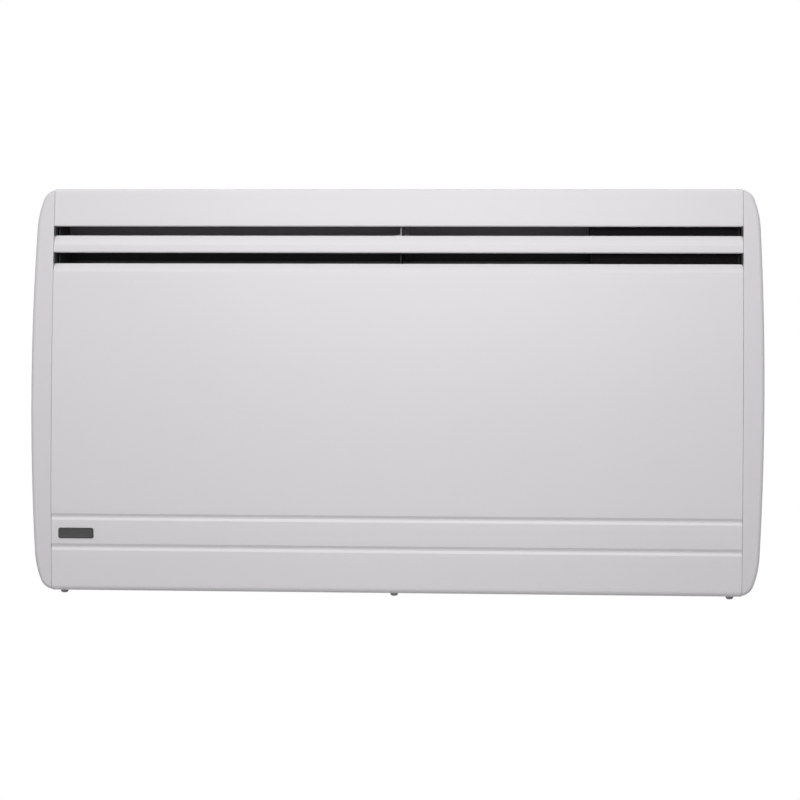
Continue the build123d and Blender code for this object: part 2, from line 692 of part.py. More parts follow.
def element_rod():
    """Sheathed heating rod through the casting."""
    return pin((ROD_LEFT, ELEMENT_Y, ELEMENT_Z), (1, 0, 0), ROD_RADIUS, ROD_RIGHT - ROD_LEFT)


def on_rod_ends(profile):
    """A turned piece on each end of the heating rod, facing outwards."""
    left = turned(profile, (ROD_LEFT, ELEMENT_Y, ELEMENT_Z), (-1, 0, 0))
    right = turned(profile, (ROD_RIGHT, ELEMENT_Y, ELEMENT_Z), (1, 0, 0))
    return Compound([left, right])


def terminal_insulators():
    """Ceramic collars on the rod ends."""
    return on_rod_ends([(1.5, 0.0), (5.5, 0.0), (4.0, 9.0), (1.5, 9.0)])


def element_terminals():
    """Terminal posts with flat nuts at the rod ends."""
    return on_rod_ends([(0.0, 0.0), (1.5, 0.0), (1.5, 9.0), (3.2, 9.0), (3.2, 12.0), (0.0, 12.0)])


def element_bushes():
    """Heat-proof bushes that let the rod grow lengthways in its hangers."""
    profile = [
        (ROD_RADIUS, -2.5), (8.5, -2.5), (8.5, -0.5),
        (HANGER_HOLE, -0.5), (HANGER_HOLE, 2.5), (ROD_RADIUS, 2.5),
    ]
    places = (ELEMENT_LEFT - HANGER_OUT, ELEMENT_RIGHT + HANGER_OUT)
    return Compound([turned(profile, (x, ELEMENT_Y, ELEMENT_Z), (1, 0, 0)) for x in places])


def element_hanger(x, foot_way):
    """Upright plate on the heat shield that carries one end of the element."""
    tip_y, shoulder_y = ELEMENT_Y - 12.0, ELEMENT_Y - 4.0
    upper = [(tip_y, ELEMENT_Z + 6.0), (shoulder_y, ELEMENT_Z + 14.0), (SHIELD_FACE, ELEMENT_Z + 40.0)]
    lower = [(SHIELD_FACE, ELEMENT_Z - 40.0), (shoulder_y, ELEMENT_Z - 14.0), (tip_y, ELEMENT_Z - 6.0)]
    plate = along_x(outlined(*upper, *lower), x - INNER_SHEET / 2, x + INNER_SHEET / 2)
    foot_x = sorted((x - foot_way * INNER_SHEET / 2, x + foot_way * 14.0))
    plate += block(*foot_x, SHIELD_FACE - INNER_SHEET, SHIELD_FACE, ELEMENT_Z - 40.0, ELEMENT_Z + 40.0)
    return plate - pin((x - 2.0, ELEMENT_Y, ELEMENT_Z), (1, 0, 0), HANGER_HOLE, 4.0)


def thermal_cutout():
    """Bimetal disc cut-out on the heat shield above the element, with two blade terminals."""
    cup = [(0.0, 0.0), (8.0, 0.0), (8.0, 3.0), (7.0, 3.0), (7.0, 9.0), (0.0, 9.0)]
    body = turned(cup, (CUTOUT_X, SHIELD_FACE, CUTOUT_Z), (0, -1, 0))
    strap = along_y(Pos(CUTOUT_X, CUTOUT_Z) * Rectangle(34.0, 9.0), SHIELD_FACE - 1.0, SHIELD_FACE)
    for x in cutout_rivet_places():
        strap -= pin((x, SHIELD_FACE - 2.0, CUTOUT_Z), (0, 1, 0), 1.6, 4.0)
    body += strap
    for x in (CUTOUT_X - 4.5, CUTOUT_X + 3.7):
        body += block(x, x + 0.8, SHIELD_FACE - 16.0, SHIELD_FACE - 8.0, CUTOUT_Z - 3.0, CUTOUT_Z + 3.0)
    return body


def cutout_rivet_places():
    """X of the two rivets of the cut-out."""
    return (CUTOUT_X - CUTOUT_RIVET_OUT, CUTOUT_X + CUTOUT_RIVET_OUT)


def cutout_rivets():
    """Two rivets through the strap of the cut-out."""
    profile = [(0.0, -1.0), (1.6, -1.0), (1.6, 0.0), (3.0, 0.0), (2.2, 1.4), (0.0, 1.4)]
    face = SHIELD_FACE - 1.0
    return Compound([turned(profile, (x, face, CUTOUT_Z), (0, -1, 0)) for x in cutout_rivet_places()])


# ---------------------------------------------------------------- control compartment

def control_partition():
    """Upright sheet between the heating chamber and the control compartment."""
    sheet = cross_sheet(COMPARTMENT_X, INNER_SHEET, 1)
    for y, z in LEAD_HOLES:
        sheet -= pin((COMPARTMENT_X - 1.0, y, z), (1, 0, 0), LEAD_HOLE_RADIUS, 3.0)
    return sheet


def partition_grommets():
    """Rubber rings in the lead holes of the partition."""
    bore = LEAD_RADIUS + 0.1
    profile = [
        (bore, -1.5), (7.0, -1.5), (7.0, 0.0),
        (LEAD_HOLE_RADIUS, 0.0), (LEAD_HOLE_RADIUS, 2.5), (bore, 2.5),
    ]
    return Compound([turned(profile, (COMPARTMENT_X, y, z), (1, 0, 0)) for y, z in LEAD_HOLES])


def control_guard():
    """Dark plate behind the slots of the control compartment, with one upright rib."""
    left = COMPARTMENT_X + INNER_SHEET
    right = TRAY_HALF - CASING_SHEET
    front, low, high = TRAY_FRONT + 1.0, 117.0, 190.0
    plate = block(left, right, front, front + 1.2, low + 1.0, high)
    plate += block(323.0, 325.0, front - 2.0, front, low + 1.0, high)
    plate += block(left, right, front, front + 9.0, low, low + 1.2)
    return plate


def cable_grommet():
    """Entry grommet for the supply cable in the back sheet."""
    flange = 11.5
    profile = [
        (CABLE_BORE, -4.0), (flange, -4.0), (flange, 0.0), (ENTRY_HOLE, 0.0), (ENTRY_HOLE, CASING_SHEET),
        (flange, CASING_SHEET), (flange, 2.5), (7.0, 6.0), (CABLE_BORE, 6.0),
    ]
    return turned(profile, (ENTRY_X, BACK_Y, ENTRY_Z), (0, -1, 0))


def terminal_place(number):
    """X of one of the three terminals."""
    return TERMINAL_X + (number - 1) * TERMINAL_PITCH


def terminal_block():
    """Three-way terminal block with wire mouths and screw shafts."""
    body = block(
        TERMINAL_X - 21.0, TERMINAL_X + 21.0, INSIDE_Y - TERMINAL_DEPTH, INSIDE_Y,
        TERMINAL_Z - TERMINAL_HEIGHT / 2, TERMINAL_Z + TERMINAL_HEIGHT / 2,
    )
    for number in range(3):
        x = terminal_place(number)
        body -= Pos(x, INSIDE_Y - 8.0, TERMINAL_Z) * Box(4.8, 4.8, TERMINAL_HEIGHT + 2.0)
        body -= pin((x, INSIDE_Y - TERMINAL_DEPTH - 1.0, TERMINAL_Z + 4.0), (0, 1, 0), 2.6, 8.0)
    return body


def terminal_screws():
    """Clamping screws in the terminal block."""
    head_y, shaft_z = INSIDE_Y - TERMINAL_DEPTH + 1.5, TERMINAL_Z + 4.0
    return Compound([pin((terminal_place(n), head_y, shaft_z), (0, 1, 0), 2.5, 4.5) for n in range(3)])


def cable_clamp():
    """Saddle that grips the supply cable on the back sheet."""
    low, high, throat = CLAMP_Z - 5.0, CLAMP_Z + 5.0, CABLE_BORE + 0.5
    axis_y = INSIDE_Y - 5.5
    saddle = block(ENTRY_X - 17.0, ENTRY_X + 17.0, INSIDE_Y - CLAMP_DEPTH, INSIDE_Y, low, high)
    saddle -= pin((ENTRY_X, axis_y, low - 1.0), (0, 0, 1), throat, 12.0)
    saddle -= block(ENTRY_X - throat, ENTRY_X + throat, axis_y, INSIDE_Y + 1.0, low - 1.0, high + 1.0)
    for x in clamp_screw_places():
        saddle -= pin((x, INSIDE_Y - CLAMP_DEPTH - 1.0, CLAMP_Z), (0, 1, 0), 1.75, 20.0)
    return saddle


def clamp_screw_places():
    """X of the two screws of the cable saddle."""
    return (ENTRY_X - CLAMP_SCREW_OUT, ENTRY_X + CLAMP_SCREW_OUT)


def cable_clamp_screws():
    """Two screws of the cable saddle."""
    seat_y = INSIDE_Y - CLAMP_DEPTH
    return Compound([
        pan_screw((x, seat_y, CLAMP_Z), (0, -1, 0), 1.75, 12.8, 3.2, 2.2) for x in clamp_screw_places()
    ])


def earth_stud():
    """Earth stud with its nut, through the back sheet."""
    head_y = BACK_Y + 1.5
    stud = pin((EARTH_X, head_y, EARTH_Z), (0, -1, 0), EARTH_STUD_RADIUS, 16.0)
    stud += pin((EARTH_X, head_y, EARTH_Z), (0, -1, 0), 3.5, 1.5)
    nut = along_y(Pos(EARTH_X, EARTH_Z) * RegularPolygon(4.0, 6), INSIDE_Y - 3.2, INSIDE_Y)
    return stud + nut


def control_housing():
    """Moulded tub round the control board, under the top of the casing."""
    x0, x1 = HOUSING_X
    y0, y1 = HOUSING_Y
    wall = HOUSING_WALL
    tub = block(x0, x1, y0, y1, HOUSING_LOW, RETURN_UNDERSIDE)
    tub = fillet(tub.edges().filter_by(Axis.Z), 2.5)
    tub -= block(x0 + wall, x1 - wall, y0 + wall, y1 - wall, HOUSING_LOW + wall, RETURN_UNDERSIDE + 1.0)
    for x in (x0 + wall, x1 - wall - 4.0):
        tub += block(x, x + 4.0, y0 + wall, y1 - wall, BOARD_Z - 4.0, BOARD_Z)
    tub -= block(262.0, 322.0, y1 - 14.0, y1 - 6.0, HOUSING_LOW - 1.0, HOUSING_LOW + wall + 1.0)
    return tub


def control_board():
    """Circuit board on the ledges of the housing."""
    inset = HOUSING_WALL + 0.5
    x0, x1 = HOUSING_X
    y0, y1 = HOUSING_Y
    return block(x0 + inset, x1 - inset, y0 + inset, y1 - inset, BOARD_Z, BOARD_TOP)


def transformer():
    """Small mains transformer hung under the board."""
    core = block(236.0, 264.0, -58.0, -34.0, BOARD_Z - 20.0, BOARD_Z)
    coil = block(241.0, 259.0, -62.0, -30.0, BOARD_Z - 17.0, BOARD_Z - 3.0)
    return core + chamfer(coil.edges().filter_by(Axis.X), 3.0)


def power_relay():
    """Relay that switches the element."""
    return chamfer(block(296.0, 314.0, -60.0, -45.0, BOARD_Z - 16.0, BOARD_Z).edges().filter_by(Axis.Z), 1.0)


def board_capacitors():
    """Three capacitors under the board."""
    places = ((276.0, -56.0), (286.0, -56.0), (338.0, -50.0))
    return Compound([pin((x, y, BOARD_Z - 14.0), (0, 0, 1), 4.0, 14.0) for x, y in places])


def ambient_sensor():
    """Room sensor bead over the vents of the compartment."""
    return pin((SENSOR_X, -66.0, SENSOR_Z), (0, 1, 0), 2.5, 16.0)


def sensor_clip():
    """Snap holder of the room sensor on the casing floor."""
    clip = block(SENSOR_X - 6.0, SENSOR_X + 6.0, -62.0, -54.0, -RETURN_UNDERSIDE, SENSOR_Z + 1.5)
    clip -= pin((SENSOR_X, -63.0, SENSOR_Z), (0, 1, 0), 2.5, 12.0)
    clip -= block(SENSOR_X - 1.0, SENSOR_X + 1.0, -63.0, -53.0, SENSOR_Z, SENSOR_Z + 3.0)
    return clip


# ---------------------------------------------------------------- controls in the top

def control_plate():
    """Sunk control plate in the top of the casing."""
    x0, x1 = recess_span(CONTROL_X, RECESS_LENGTH, 0.0)
    y0, y1 = recess_span(CONTROL_Y, RECESS_WIDTH, 0.0)
    wall, rim = PLATE_WALL, 3.0
    plate = block(x0 - rim, x1 + rim, y0 - rim, y1 + rim, CASING_TOP, TOP)
    plate += block(x0, x1, y0, y1, RECESS_UNDERSIDE, CASING_TOP)
    hollow = block(x0 + wall, x1 - wall, y0 + wall, y1 - wall, RECESS_FLOOR, TOP + 1.0)
    plate -= fillet(hollow.edges().filter_by(Axis.Z), 3.0)
    plate -= pin((KNOB_X, CONTROL_Y, RECESS_UNDERSIDE - 1.0), (0, 0, 1), 5.0, 5.0)
    plate -= pin((LENS_X, CONTROL_Y, RECESS_UNDERSIDE - 1.0), (0, 0, 1), 2.0, 5.0)
    plate -= Pos(SELECTOR_X, CONTROL_Y, RECESS_FLOOR) * Box(2 * SELECTOR_TRAVEL + 5.0, 3.4, 6.0)
    plate -= Pos(ROCKER_X, CONTROL_Y, RECESS_FLOOR) * Box(18.0, 13.0, 6.0)
    return plate


def thermostat_knob():
    """Dial knob with grip notches round its edge and a bore for the spindle."""
    base = RECESS_FLOOR + 0.5
    profile = [(0.0, 0.0), (KNOB_RADIUS, 0.0), (KNOB_RADIUS - 1.0, KNOB_HEIGHT), (0.0, KNOB_HEIGHT)]
    knob = turned(profile, (KNOB_X, CONTROL_Y, base), (0, 0, 1))
    for number in range(KNOB_NOTCHES):
        around = Rot(0.0, 0.0, 360.0 * (number + 0.5) / KNOB_NOTCHES)
        notch = around * Pos(KNOB_RADIUS + 0.2, 0.0, KNOB_HEIGHT / 2 + 1.5) * Rot(0.0, 0.0, 45.0)
        knob -= Pos(KNOB_X, CONTROL_Y, base) * notch * Box(2.0, 2.0, KNOB_HEIGHT)
    return knob - pin((KNOB_X, CONTROL_Y, base - 1.0), (0, 0, 1), SPINDLE_RADIUS, 7.5)


def knob_spindle():
    """Spindle between the knob and the thermostat control."""
    low = BOARD_TOP + 2.0
    return pin((KNOB_X, CONTROL_Y, low), (0, 0, 1), SPINDLE_RADIUS, RECESS_FLOOR + 7.0 - low)


def thermostat_control():
    """Rotary control on the board, with the bearing bush of the spindle."""
    body = block(KNOB_X - 8.0, KNOB_X + 8.0, CONTROL_Y - 8.0, CONTROL_Y + 8.0, BOARD_TOP, BOARD_TOP + 9.0)
    body += pin((KNOB_X, CONTROL_Y, BOARD_TOP + 9.0), (0, 0, 1), 4.6, 7.0)
    return body - pin((KNOB_X, CONTROL_Y, BOARD_TOP + 1.5), (0, 0, 1), SPINDLE_RADIUS + 0.05, 20.0)


def mode_button():
    """Sliding selector button with grip ribs and a stem."""
    base = RECESS_FLOOR + 0.3
    button = block(SELECTOR_X - 5.0, SELECTOR_X + 5.0, CONTROL_Y - 4.5, CONTROL_Y + 4.5, base, base + 3.0)
    for number in range(4):
        x = SELECTOR_X - 3.9 + 2.6 * number
        button += block(x - 0.6, x + 0.6, CONTROL_Y - 4.0, CONTROL_Y + 4.0, base + 3.0, base + 4.2)
    stem_low = RECESS_UNDERSIDE - 5.0
    button += block(SELECTOR_X - 2.0, SELECTOR_X + 2.0, CONTROL_Y - 1.4, CONTROL_Y + 1.4, stem_low, base)
    return button


def mode_switch():
    """Slide switch between the board and the plate."""
    x, y, top = SELECTOR_X, CONTROL_Y, RECESS_UNDERSIDE
    half = SELECTOR_TRAVEL + 2.5
    body = block(x - 11.0, x + 11.0, y - 5.0, y + 5.0, BOARD_TOP, top)
    return body - block(x - half, x + half, y - 1.7, y + 1.7, top - 6.0, top + 1.0)


def rocker_switch():
    """Housing of the on-off rocker, snapped into the plate."""
    low = BOARD_TOP + 3.0
    x, y = ROCKER_X, CONTROL_Y
    body = block(x - 9.0, x + 9.0, y - 6.5, y + 6.5, low, RECESS_FLOOR)
    body += block(x - 10.5, x + 10.5, y - 8.0, y + 8.0, RECESS_FLOOR, RECESS_FLOOR + 1.2)
    body -= block(x - 7.9, x + 7.9, y - 5.2, y + 5.2, low + 4.0, RECESS_FLOOR + 2.0)
    return body - pin((x, y - 6.2, ROCKER_PIVOT_Z), (0, 1, 0), 1.25, 12.4)


def rocker_button():
    """Rocker with a dished top and its pivot pins, set in the off position."""
    top = [(7.2, 3.9), (0.0, 2.7), (-7.2, 3.9)]
    belly = [(-6.8, -2.0), (-3.0, -6.0), (3.0, -6.0), (6.8, -2.0)]
    rocker = along_y(outlined(*top, *belly), -5.0, 5.0)
    rocker += pin((0.0, -6.0, 0.0), (0, 1, 0), 1.2, 12.0)
    return Pos(ROCKER_X, CONTROL_Y, ROCKER_PIVOT_Z) * Rot(0.0, -ROCKER_TILT, 0.0) * rocker


def indicator_lens():
    """Round lens of the heating lamp."""
    stem = PLATE_WALL + 2.0
    profile = [(0.0, -stem), (2.0, -stem), (2.0, 0.0), (2.9, 0.0), (2.2, 1.3), (0.0, 1.3)]
    return turned(profile, (LENS_X, CONTROL_Y, RECESS_FLOOR), (0, 0, 1))


# ---------------------------------------------------------------- leads

def lead(name, points):
    """Insulated wire: straight runs joined by tangent arcs as large as the runs allow."""
    vectors = [Vector(*point) for point in points]
    radii = []
    for before, corner, after in zip(vectors, vectors[1:], vectors[2:]):
        turn = math.radians((corner - before).get_angle(after - corner))
        run = min((corner - before).length, (after - corner).length)
        radii.append(0.45 * run / math.tan(turn / 2))
    path = FilletPolyline(*points, radius=radii)
    start = Plane(origin=points[0], z_dir=vectors[1] - vectors[0])
    section = start * RegularPolygon(LEAD_RADIUS, LEAD_SIDES)
    wire = sweep(section, path=path)
    ratio = wire.volume / (section.area * path.length)
    print(name, "radii", [round(radius, 1) for radius in radii], "volume ratio", round(ratio, 3))
    return wire


def live_lead():
    """Terminal block to the relay side of the board."""
    x = terminal_place(0)
    mouth_y = INSIDE_Y - 8.0
    return lead("live_lead", [
        (x, mouth_y, TERMINAL_Z + TERMINAL_HEIGHT / 2), (x, mouth_y, -60.0),
        (x + 30.0, -32.0, 20.0), (x + 42.0, -33.0, 110.0), (x + 42.0, -33.0, BOARD_Z),
    ])


def neutral_lead():
    """Terminal block to the transformer side of the board."""
    x = terminal_place(1)
    mouth_y = INSIDE_Y - 8.0
    return lead("neutral_lead", [
        (x, mouth_y, TERMINAL_Z + TERMINAL_HEIGHT / 2), (x, mouth_y, -50.0),
        (x + 26.0, -32.0, 30.0), (x + 37.0, -33.0, 110.0), (x + 37.0, -33.0, BOARD_Z),
    ])


def earth_lead():
    """Terminal block to the earth stud."""
    x = terminal_place(2)
    mouth_y = INSIDE_Y - 8.0
    return lead("earth_lead", [
        (x, mouth_y, TERMINAL_Z - TERMINAL_HEIGHT / 2), (x, mouth_y, -180.0),
        (x + 32.0, INSIDE_Y - 9.0, -202.0), (EARTH_X - 2.0, INSIDE_Y - 7.0, -200.0),
        (EARTH_X, INSIDE_Y - 7.0, EARTH_Z - 3.4),
    ])


def element_live_lead():
    """Board to the right-hand terminal of the element, through the upper grommet."""
    terminal_x = ROD_RIGHT + 12.0
    return lead("element_live_lead", [
        (terminal_x, ELEMENT_Y, ELEMENT_Z), (COMPARTMENT_X + 24.0, ELEMENT_Y, ELEMENT_Z),
        (250.0, -52.0, 20.0), (281.0, -33.0, 100.0), (281.0, -33.0, BOARD_Z),
    ])


def element_neutral_lead():
    """Left-hand terminal of the element, down and along the casing floor, to the board."""
    terminal_x = ROD_LEFT - 12.0
    lower_y, lower_z = LEAD_HOLES[1]
    return lead("element_neutral_lead", [
        (terminal_x, ELEMENT_Y, ELEMENT_Z), (-363.0, ELEMENT_Y, ELEMENT_Z),
        (-363.0, lower_y - 4.0, -150.0), (-363.0, lower_y, lower_z),
        (COMPARTMENT_X + 41.0, lower_y, lower_z), (268.0, -50.0, -150.0),
        (300.0, -48.0, -20.0), (307.0, -33.0, 100.0), (307.0, -33.0, BOARD_Z),
    ])


def sensor_lead():
    """Room sensor to the board."""
    return lead("sensor_lead", [
        (SENSOR_X, -50.0, SENSOR_Z), (SENSOR_X, -36.0, SENSOR_Z), (226.0, -32.0, -150.0),
        (232.0, -34.0, 50.0), (270.0, -33.0, 120.0), (270.0, -33.0, BOARD_Z),
    ])


def write(name, shape):
    """One file for each sub-part."""
    export_step(shape, f"parts/{name}.step")


write("wall_bracket", wall_bracket())
write("hinge_pins", hinge_pins())
write("catch_springs", catch_springs())
write("wall_buffers", wall_buffers())

write("front_panel", front_panel())
write("panel_screws", panel_screws())
for side, cap in zip(("right", "left"), both_sides(end_cap())):
    write(f"{side}_side_cap", cap)
write("cap_screws", cap_screws())
write("rear_casing", rear_casing())
write("casing_floor", casing_floor())
for side, plate in zip(("right", "left"), both_sides(end_plate())):
    write(f"{side}_end_plate", plate)
write("inlet_grille", inlet_grille())
write("hinge_ears", hinge_ears())
write("latch_blades", latch_blades())
write("heat_shield", heat_shield())
write("outlet_deflector", outlet_deflector())
write("centre_stay", centre_stay())

write("heating_element", heating_element())
write("element_rod", element_rod())
write("terminal_insulators", terminal_insulators())
write("element_terminals", element_terminals())
write("element_bushes", element_bushes())
write("left_element_hanger", element_hanger(ELEMENT_LEFT - HANGER_OUT, -1.0))
write("right_element_hanger", element_hanger(ELEMENT_RIGHT + HANGER_OUT, 1.0))
write("thermal_cutout", thermal_cutout())
write("cutout_rivets", cutout_rivets())

write("control_partition", control_partition())
write("partition_grommets", partition_grommets())
write("control_guard", control_guard())
write("cable_grommet", cable_grommet())
write("terminal_block", terminal_block())
write("terminal_screws", terminal_screws())
write("cable_clamp", cable_clamp())
write("cable_clamp_screws", cable_clamp_screws())
write("earth_stud", earth_stud())
write("control_housing", control_housing())
write("control_board", control_board())
write("transformer", transformer())
write("power_relay", power_relay())
write("board_capacitors", board_capacitors())
write("ambient_sensor", ambient_sensor())
write("sensor_clip", sensor_clip())

write("control_plate", control_plate())
write("thermostat_knob", thermostat_knob())
write("knob_spindle", knob_spindle())
write("thermostat_control", thermostat_control())
write("mode_button", mode_button())
write("mode_switch", mode_switch())
write("rocker_switch", rocker_switch())
write("rocker_button", rocker_button())
write("indicator_lens", indicator_lens())

write("live_lead", live_lead())
write("neutral_lead", neutral_lead())
write("earth_lead", earth_lead())
write("element_live_lead", element_live_lead())
write("element_neutral_lead", element_neutral_lead())
write("sensor_lead", sensor_lead())
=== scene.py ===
import json
import math

import bmesh
import bpy
from mathutils import Matrix, Vector


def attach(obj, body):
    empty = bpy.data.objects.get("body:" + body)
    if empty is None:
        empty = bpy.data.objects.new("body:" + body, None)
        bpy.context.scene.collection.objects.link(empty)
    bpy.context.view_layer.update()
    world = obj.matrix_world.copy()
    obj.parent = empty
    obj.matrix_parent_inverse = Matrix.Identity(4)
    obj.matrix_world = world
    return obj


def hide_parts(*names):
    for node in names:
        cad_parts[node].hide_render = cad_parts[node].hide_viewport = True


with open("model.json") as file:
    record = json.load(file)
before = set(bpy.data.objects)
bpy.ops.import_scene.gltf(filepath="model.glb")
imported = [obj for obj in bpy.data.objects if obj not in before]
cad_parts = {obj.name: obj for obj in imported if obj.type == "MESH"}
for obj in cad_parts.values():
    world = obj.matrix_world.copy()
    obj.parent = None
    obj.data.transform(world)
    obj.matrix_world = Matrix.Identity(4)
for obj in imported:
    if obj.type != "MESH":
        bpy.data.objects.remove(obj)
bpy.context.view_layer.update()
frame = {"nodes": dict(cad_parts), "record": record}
nodes = frame["nodes"]


# ------------------------------------------------ nodes of a material

FINISHES = {}


def new_material(name):
    """Empty finish of a name: its node tree, its shader and its texture coordinates, in metres."""
    material = bpy.data.materials.new(name)
    material.use_nodes = True
    tree = material.node_tree
    tree.nodes.clear()
    output = tree.nodes.new("ShaderNodeOutputMaterial")
    shader = tree.nodes.new("ShaderNodeBsdfPrincipled")
    tree.links.new(shader.outputs["BSDF"], output.inputs["Surface"])
    coordinates = tree.nodes.new("ShaderNodeTexCoord")
    FINISHES[name] = material
    return tree, shader, coordinates.outputs


def noise(tree, vector, scale, detail=3.0, stretch=(1.0, 1.0, 1.0)):
    """Noise value between 0 and 1; scale counts features in a metre."""
    mapping = tree.nodes.new("ShaderNodeMapping")
    mapping.inputs["Scale"].default_value = stretch
    tree.links.new(vector, mapping.inputs["Vector"])
    texture = tree.nodes.new("ShaderNodeTexNoise")
    texture.inputs["Scale"].default_value = scale
    texture.inputs["Detail"].default_value = detail
    tree.links.new(mapping.outputs["Vector"], texture.inputs["Vector"])
    return texture.outputs["Fac"]


def ramp(tree, value, low, high):
    """Colour between two colours as the value goes from 0.3 to 0.7."""
    node = tree.nodes.new("ShaderNodeValToRGB")
    node.color_ramp.elements[0].position = 0.3
    node.color_ramp.elements[0].color = (*low, 1.0)
    node.color_ramp.elements[1].position = 0.7
    node.color_ramp.elements[1].color = (*high, 1.0)
    tree.links.new(value, node.inputs["Fac"])
    return node.outputs["Color"]


def spread(tree, value, low, high):
    """Number between two limits as the value goes from 0 to 1."""
    node = tree.nodes.new("ShaderNodeMapRange")
    node.inputs["To Min"].default_value = low
    node.inputs["To Max"].default_value = high
    tree.links.new(value, node.inputs["Value"])
    return node.outputs["Result"]


def along_axis(tree, vector, axis, low, high):
    """Number from 0 to 1 as one coordinate of a vector goes from low to high."""
    split = tree.nodes.new("ShaderNodeSeparateXYZ")
    tree.links.new(vector, split.inputs["Vector"])
    node = tree.nodes.new("ShaderNodeMapRange")
    node.inputs["From Min"].default_value = low
    node.inputs["From Max"].default_value = high
    tree.links.new(split.outputs[axis], node.inputs["Value"])
    return node.outputs["Result"]


def calculated(tree, operation, *terms):
    """Result of one operation on values of other nodes and plain numbers."""
    node = tree.nodes.new("ShaderNodeMath")
    node.operation = operation
    for socket, term in zip(node.inputs, terms):
        if isinstance(term, float):
            socket.default_value = term
        else:
            tree.links.new(term, socket)
    return node.outputs["Value"]


def seen_rays(tree):
    """1 for rays that the camera, a reflection or a clear material sends, 0 for light."""
    path = tree.nodes.new("ShaderNodeLightPath")
    direct = calculated(tree, "MAXIMUM", path.outputs["Is Camera Ray"], path.outputs["Is Glossy Ray"])
    return calculated(tree, "MAXIMUM", direct, path.outputs["Is Transmission Ray"])


def grained(tree, shader, vector, rough, grains, depth, stretch=(1.0, 1.0, 1.0)):
    """Fine grain in roughness and relief: grains in a metre, and their depth in metres."""
    grain = noise(tree, vector, grains, 3.0, stretch)
    tree.links.new(spread(tree, grain, rough[0], rough[1]), shader.inputs["Roughness"])
    bump = tree.nodes.new("ShaderNodeBump")
    bump.inputs["Strength"].default_value = 1.0
    bump.inputs["Distance"].default_value = depth
    tree.links.new(grain, bump.inputs["Height"])
    tree.links.new(bump.outputs["Normal"], shader.inputs["Normal"])


# ------------------------------------------------ finishes

ENAMEL_WHITE = (0.765, 0.745, 0.765)
ENAMEL_GRAIN = {"rough": (0.30, 0.40), "grains": 900.0, "depth": 0.000012}
SHEET_GRAIN = {"rough": (0.45, 0.60), "grains": 700.0, "depth": 0.00002}

# Painted shade low on the deflector and the centre stay: clouds in a metre, how far they shift its border,
# and the gloss of the sheet.
SHADE_CLOUDS = 18.0
SHADE_SHARE = 0.12
SHADED_SHEET_GLOSS = 0.2

# Y of the surface normal up to which a face is an inner one, and from which it is an outer one.
INNER_FACE = (-0.6, -0.4)


def mottled(name, colour, drift, patches, rough, grains, depth,
            metallic=0.0, stretch=(1.0, 1.0, 1.0), gloss=0.5):
    """Finish whose colour drifts by a share from patch to patch, patches in a metre, with a fine grain."""
    tree, shader, coordinates = new_material(name)
    low = tuple(channel * (1.0 - drift) for channel in colour)
    high = tuple(min(1.0, channel * (1.0 + drift)) for channel in colour)
    slow = noise(tree, coordinates["Object"], patches, 2.0)
    tree.links.new(ramp(tree, slow, low, high), shader.inputs["Base Color"])
    grained(tree, shader, coordinates["Object"], rough, grains, depth, stretch)
    shader.inputs["Metallic"].default_value = metallic
    shader.inputs["Specular IOR Level"].default_value = gloss


def shade_painted_below(name, heights, painted_shade, unshaded):
    """Sheet that grades from painted shade, near black, low down to its own colour higher up, between two
    heights in metres, with a cloudy border.
    """
    tree, shader, coordinates = new_material(name)
    height = along_axis(tree, coordinates["Object"], "Z", *heights)
    cloud = noise(tree, coordinates["Object"], SHADE_CLOUDS, 2.0)
    share = calculated(tree, "MULTIPLY_ADD", cloud, SHADE_SHARE, height)
    tree.links.new(ramp(tree, share, painted_shade, unshaded), shader.inputs["Base Color"])
    grained(tree, shader, coordinates["Object"], **SHEET_GRAIN)
    shader.inputs["Specular IOR Level"].default_value = SHADED_SHEET_GLOSS


def enamel_with_painted_shade_inside(name, outside, shaded_inside):
    """Enamel with painted shade, near black, on the inner face of the back, which looks to the front, along
    -Y.
    """
    tree, shader, coordinates = new_material(name)
    outer = along_axis(tree, coordinates["Normal"], "Y", *INNER_FACE)
    tree.links.new(ramp(tree, outer, shaded_inside, outside), shader.inputs["Base Color"])
    grained(tree, shader, coordinates["Object"], **ENAMEL_GRAIN)


# Sheets, mouldings and print.
mottled("white_enamel", ENAMEL_WHITE, 0.006, 6.0, **ENAMEL_GRAIN, gloss=0.35)
mottled("white_cap", (0.734, 0.714, 0.736), 0.006, 9.0, (0.36, 0.44), 1400.0, 0.000008, gloss=0.12)
mottled("dark_sheet", (0.055, 0.057, 0.058), 0.10, 20.0, **SHEET_GRAIN, gloss=0.25)
mottled("grey_plastic", (0.46, 0.46, 0.47), 0.02, 90.0, (0.34, 0.44), 2200.0, 0.00001)
mottled("black_plastic", (0.012, 0.011, 0.011), 0.15, 90.0, (0.42, 0.56), 2200.0, 0.00002, gloss=0.12)
# Matt black of the control guard; on the galvanised control partition it is painted shade.
mottled("black_guard_and_painted_shade", (0.0115, 0.0096, 0.0107), 0.15, 90.0, (0.60, 0.75), 2200.0, 0.00002, gloss=0.06)
mottled("black_rubber", (0.012, 0.012, 0.012), 0.25, 120.0, (0.62, 0.80), 1500.0, 0.00003)
mottled("print_dark", (0.05, 0.05, 0.055), 0.10, 400.0, (0.40, 0.50), 2600.0, 0.000004)
mottled("lens", (0.65, 0.12, 0.02), 0.06, 300.0, (0.08, 0.14), 1800.0, 0.000004)
# The deflector and the centre stay are near black below these heights: painted shade where they sit deep in
# the slots.
shade_painted_below("deflector_sheet", (0.160, 0.182), (0.003, 0.0026, 0.003), (0.31, 0.30, 0.335))
shade_painted_below("stay_sheet", (0.150, 0.176), (0.015, 0.015, 0.015), (0.42, 0.42, 0.42))
# The near-black inside of the casing is painted shade.
enamel_with_painted_shade_inside("casing_enamel", ENAMEL_WHITE, (0.0095, 0.0078, 0.0098))

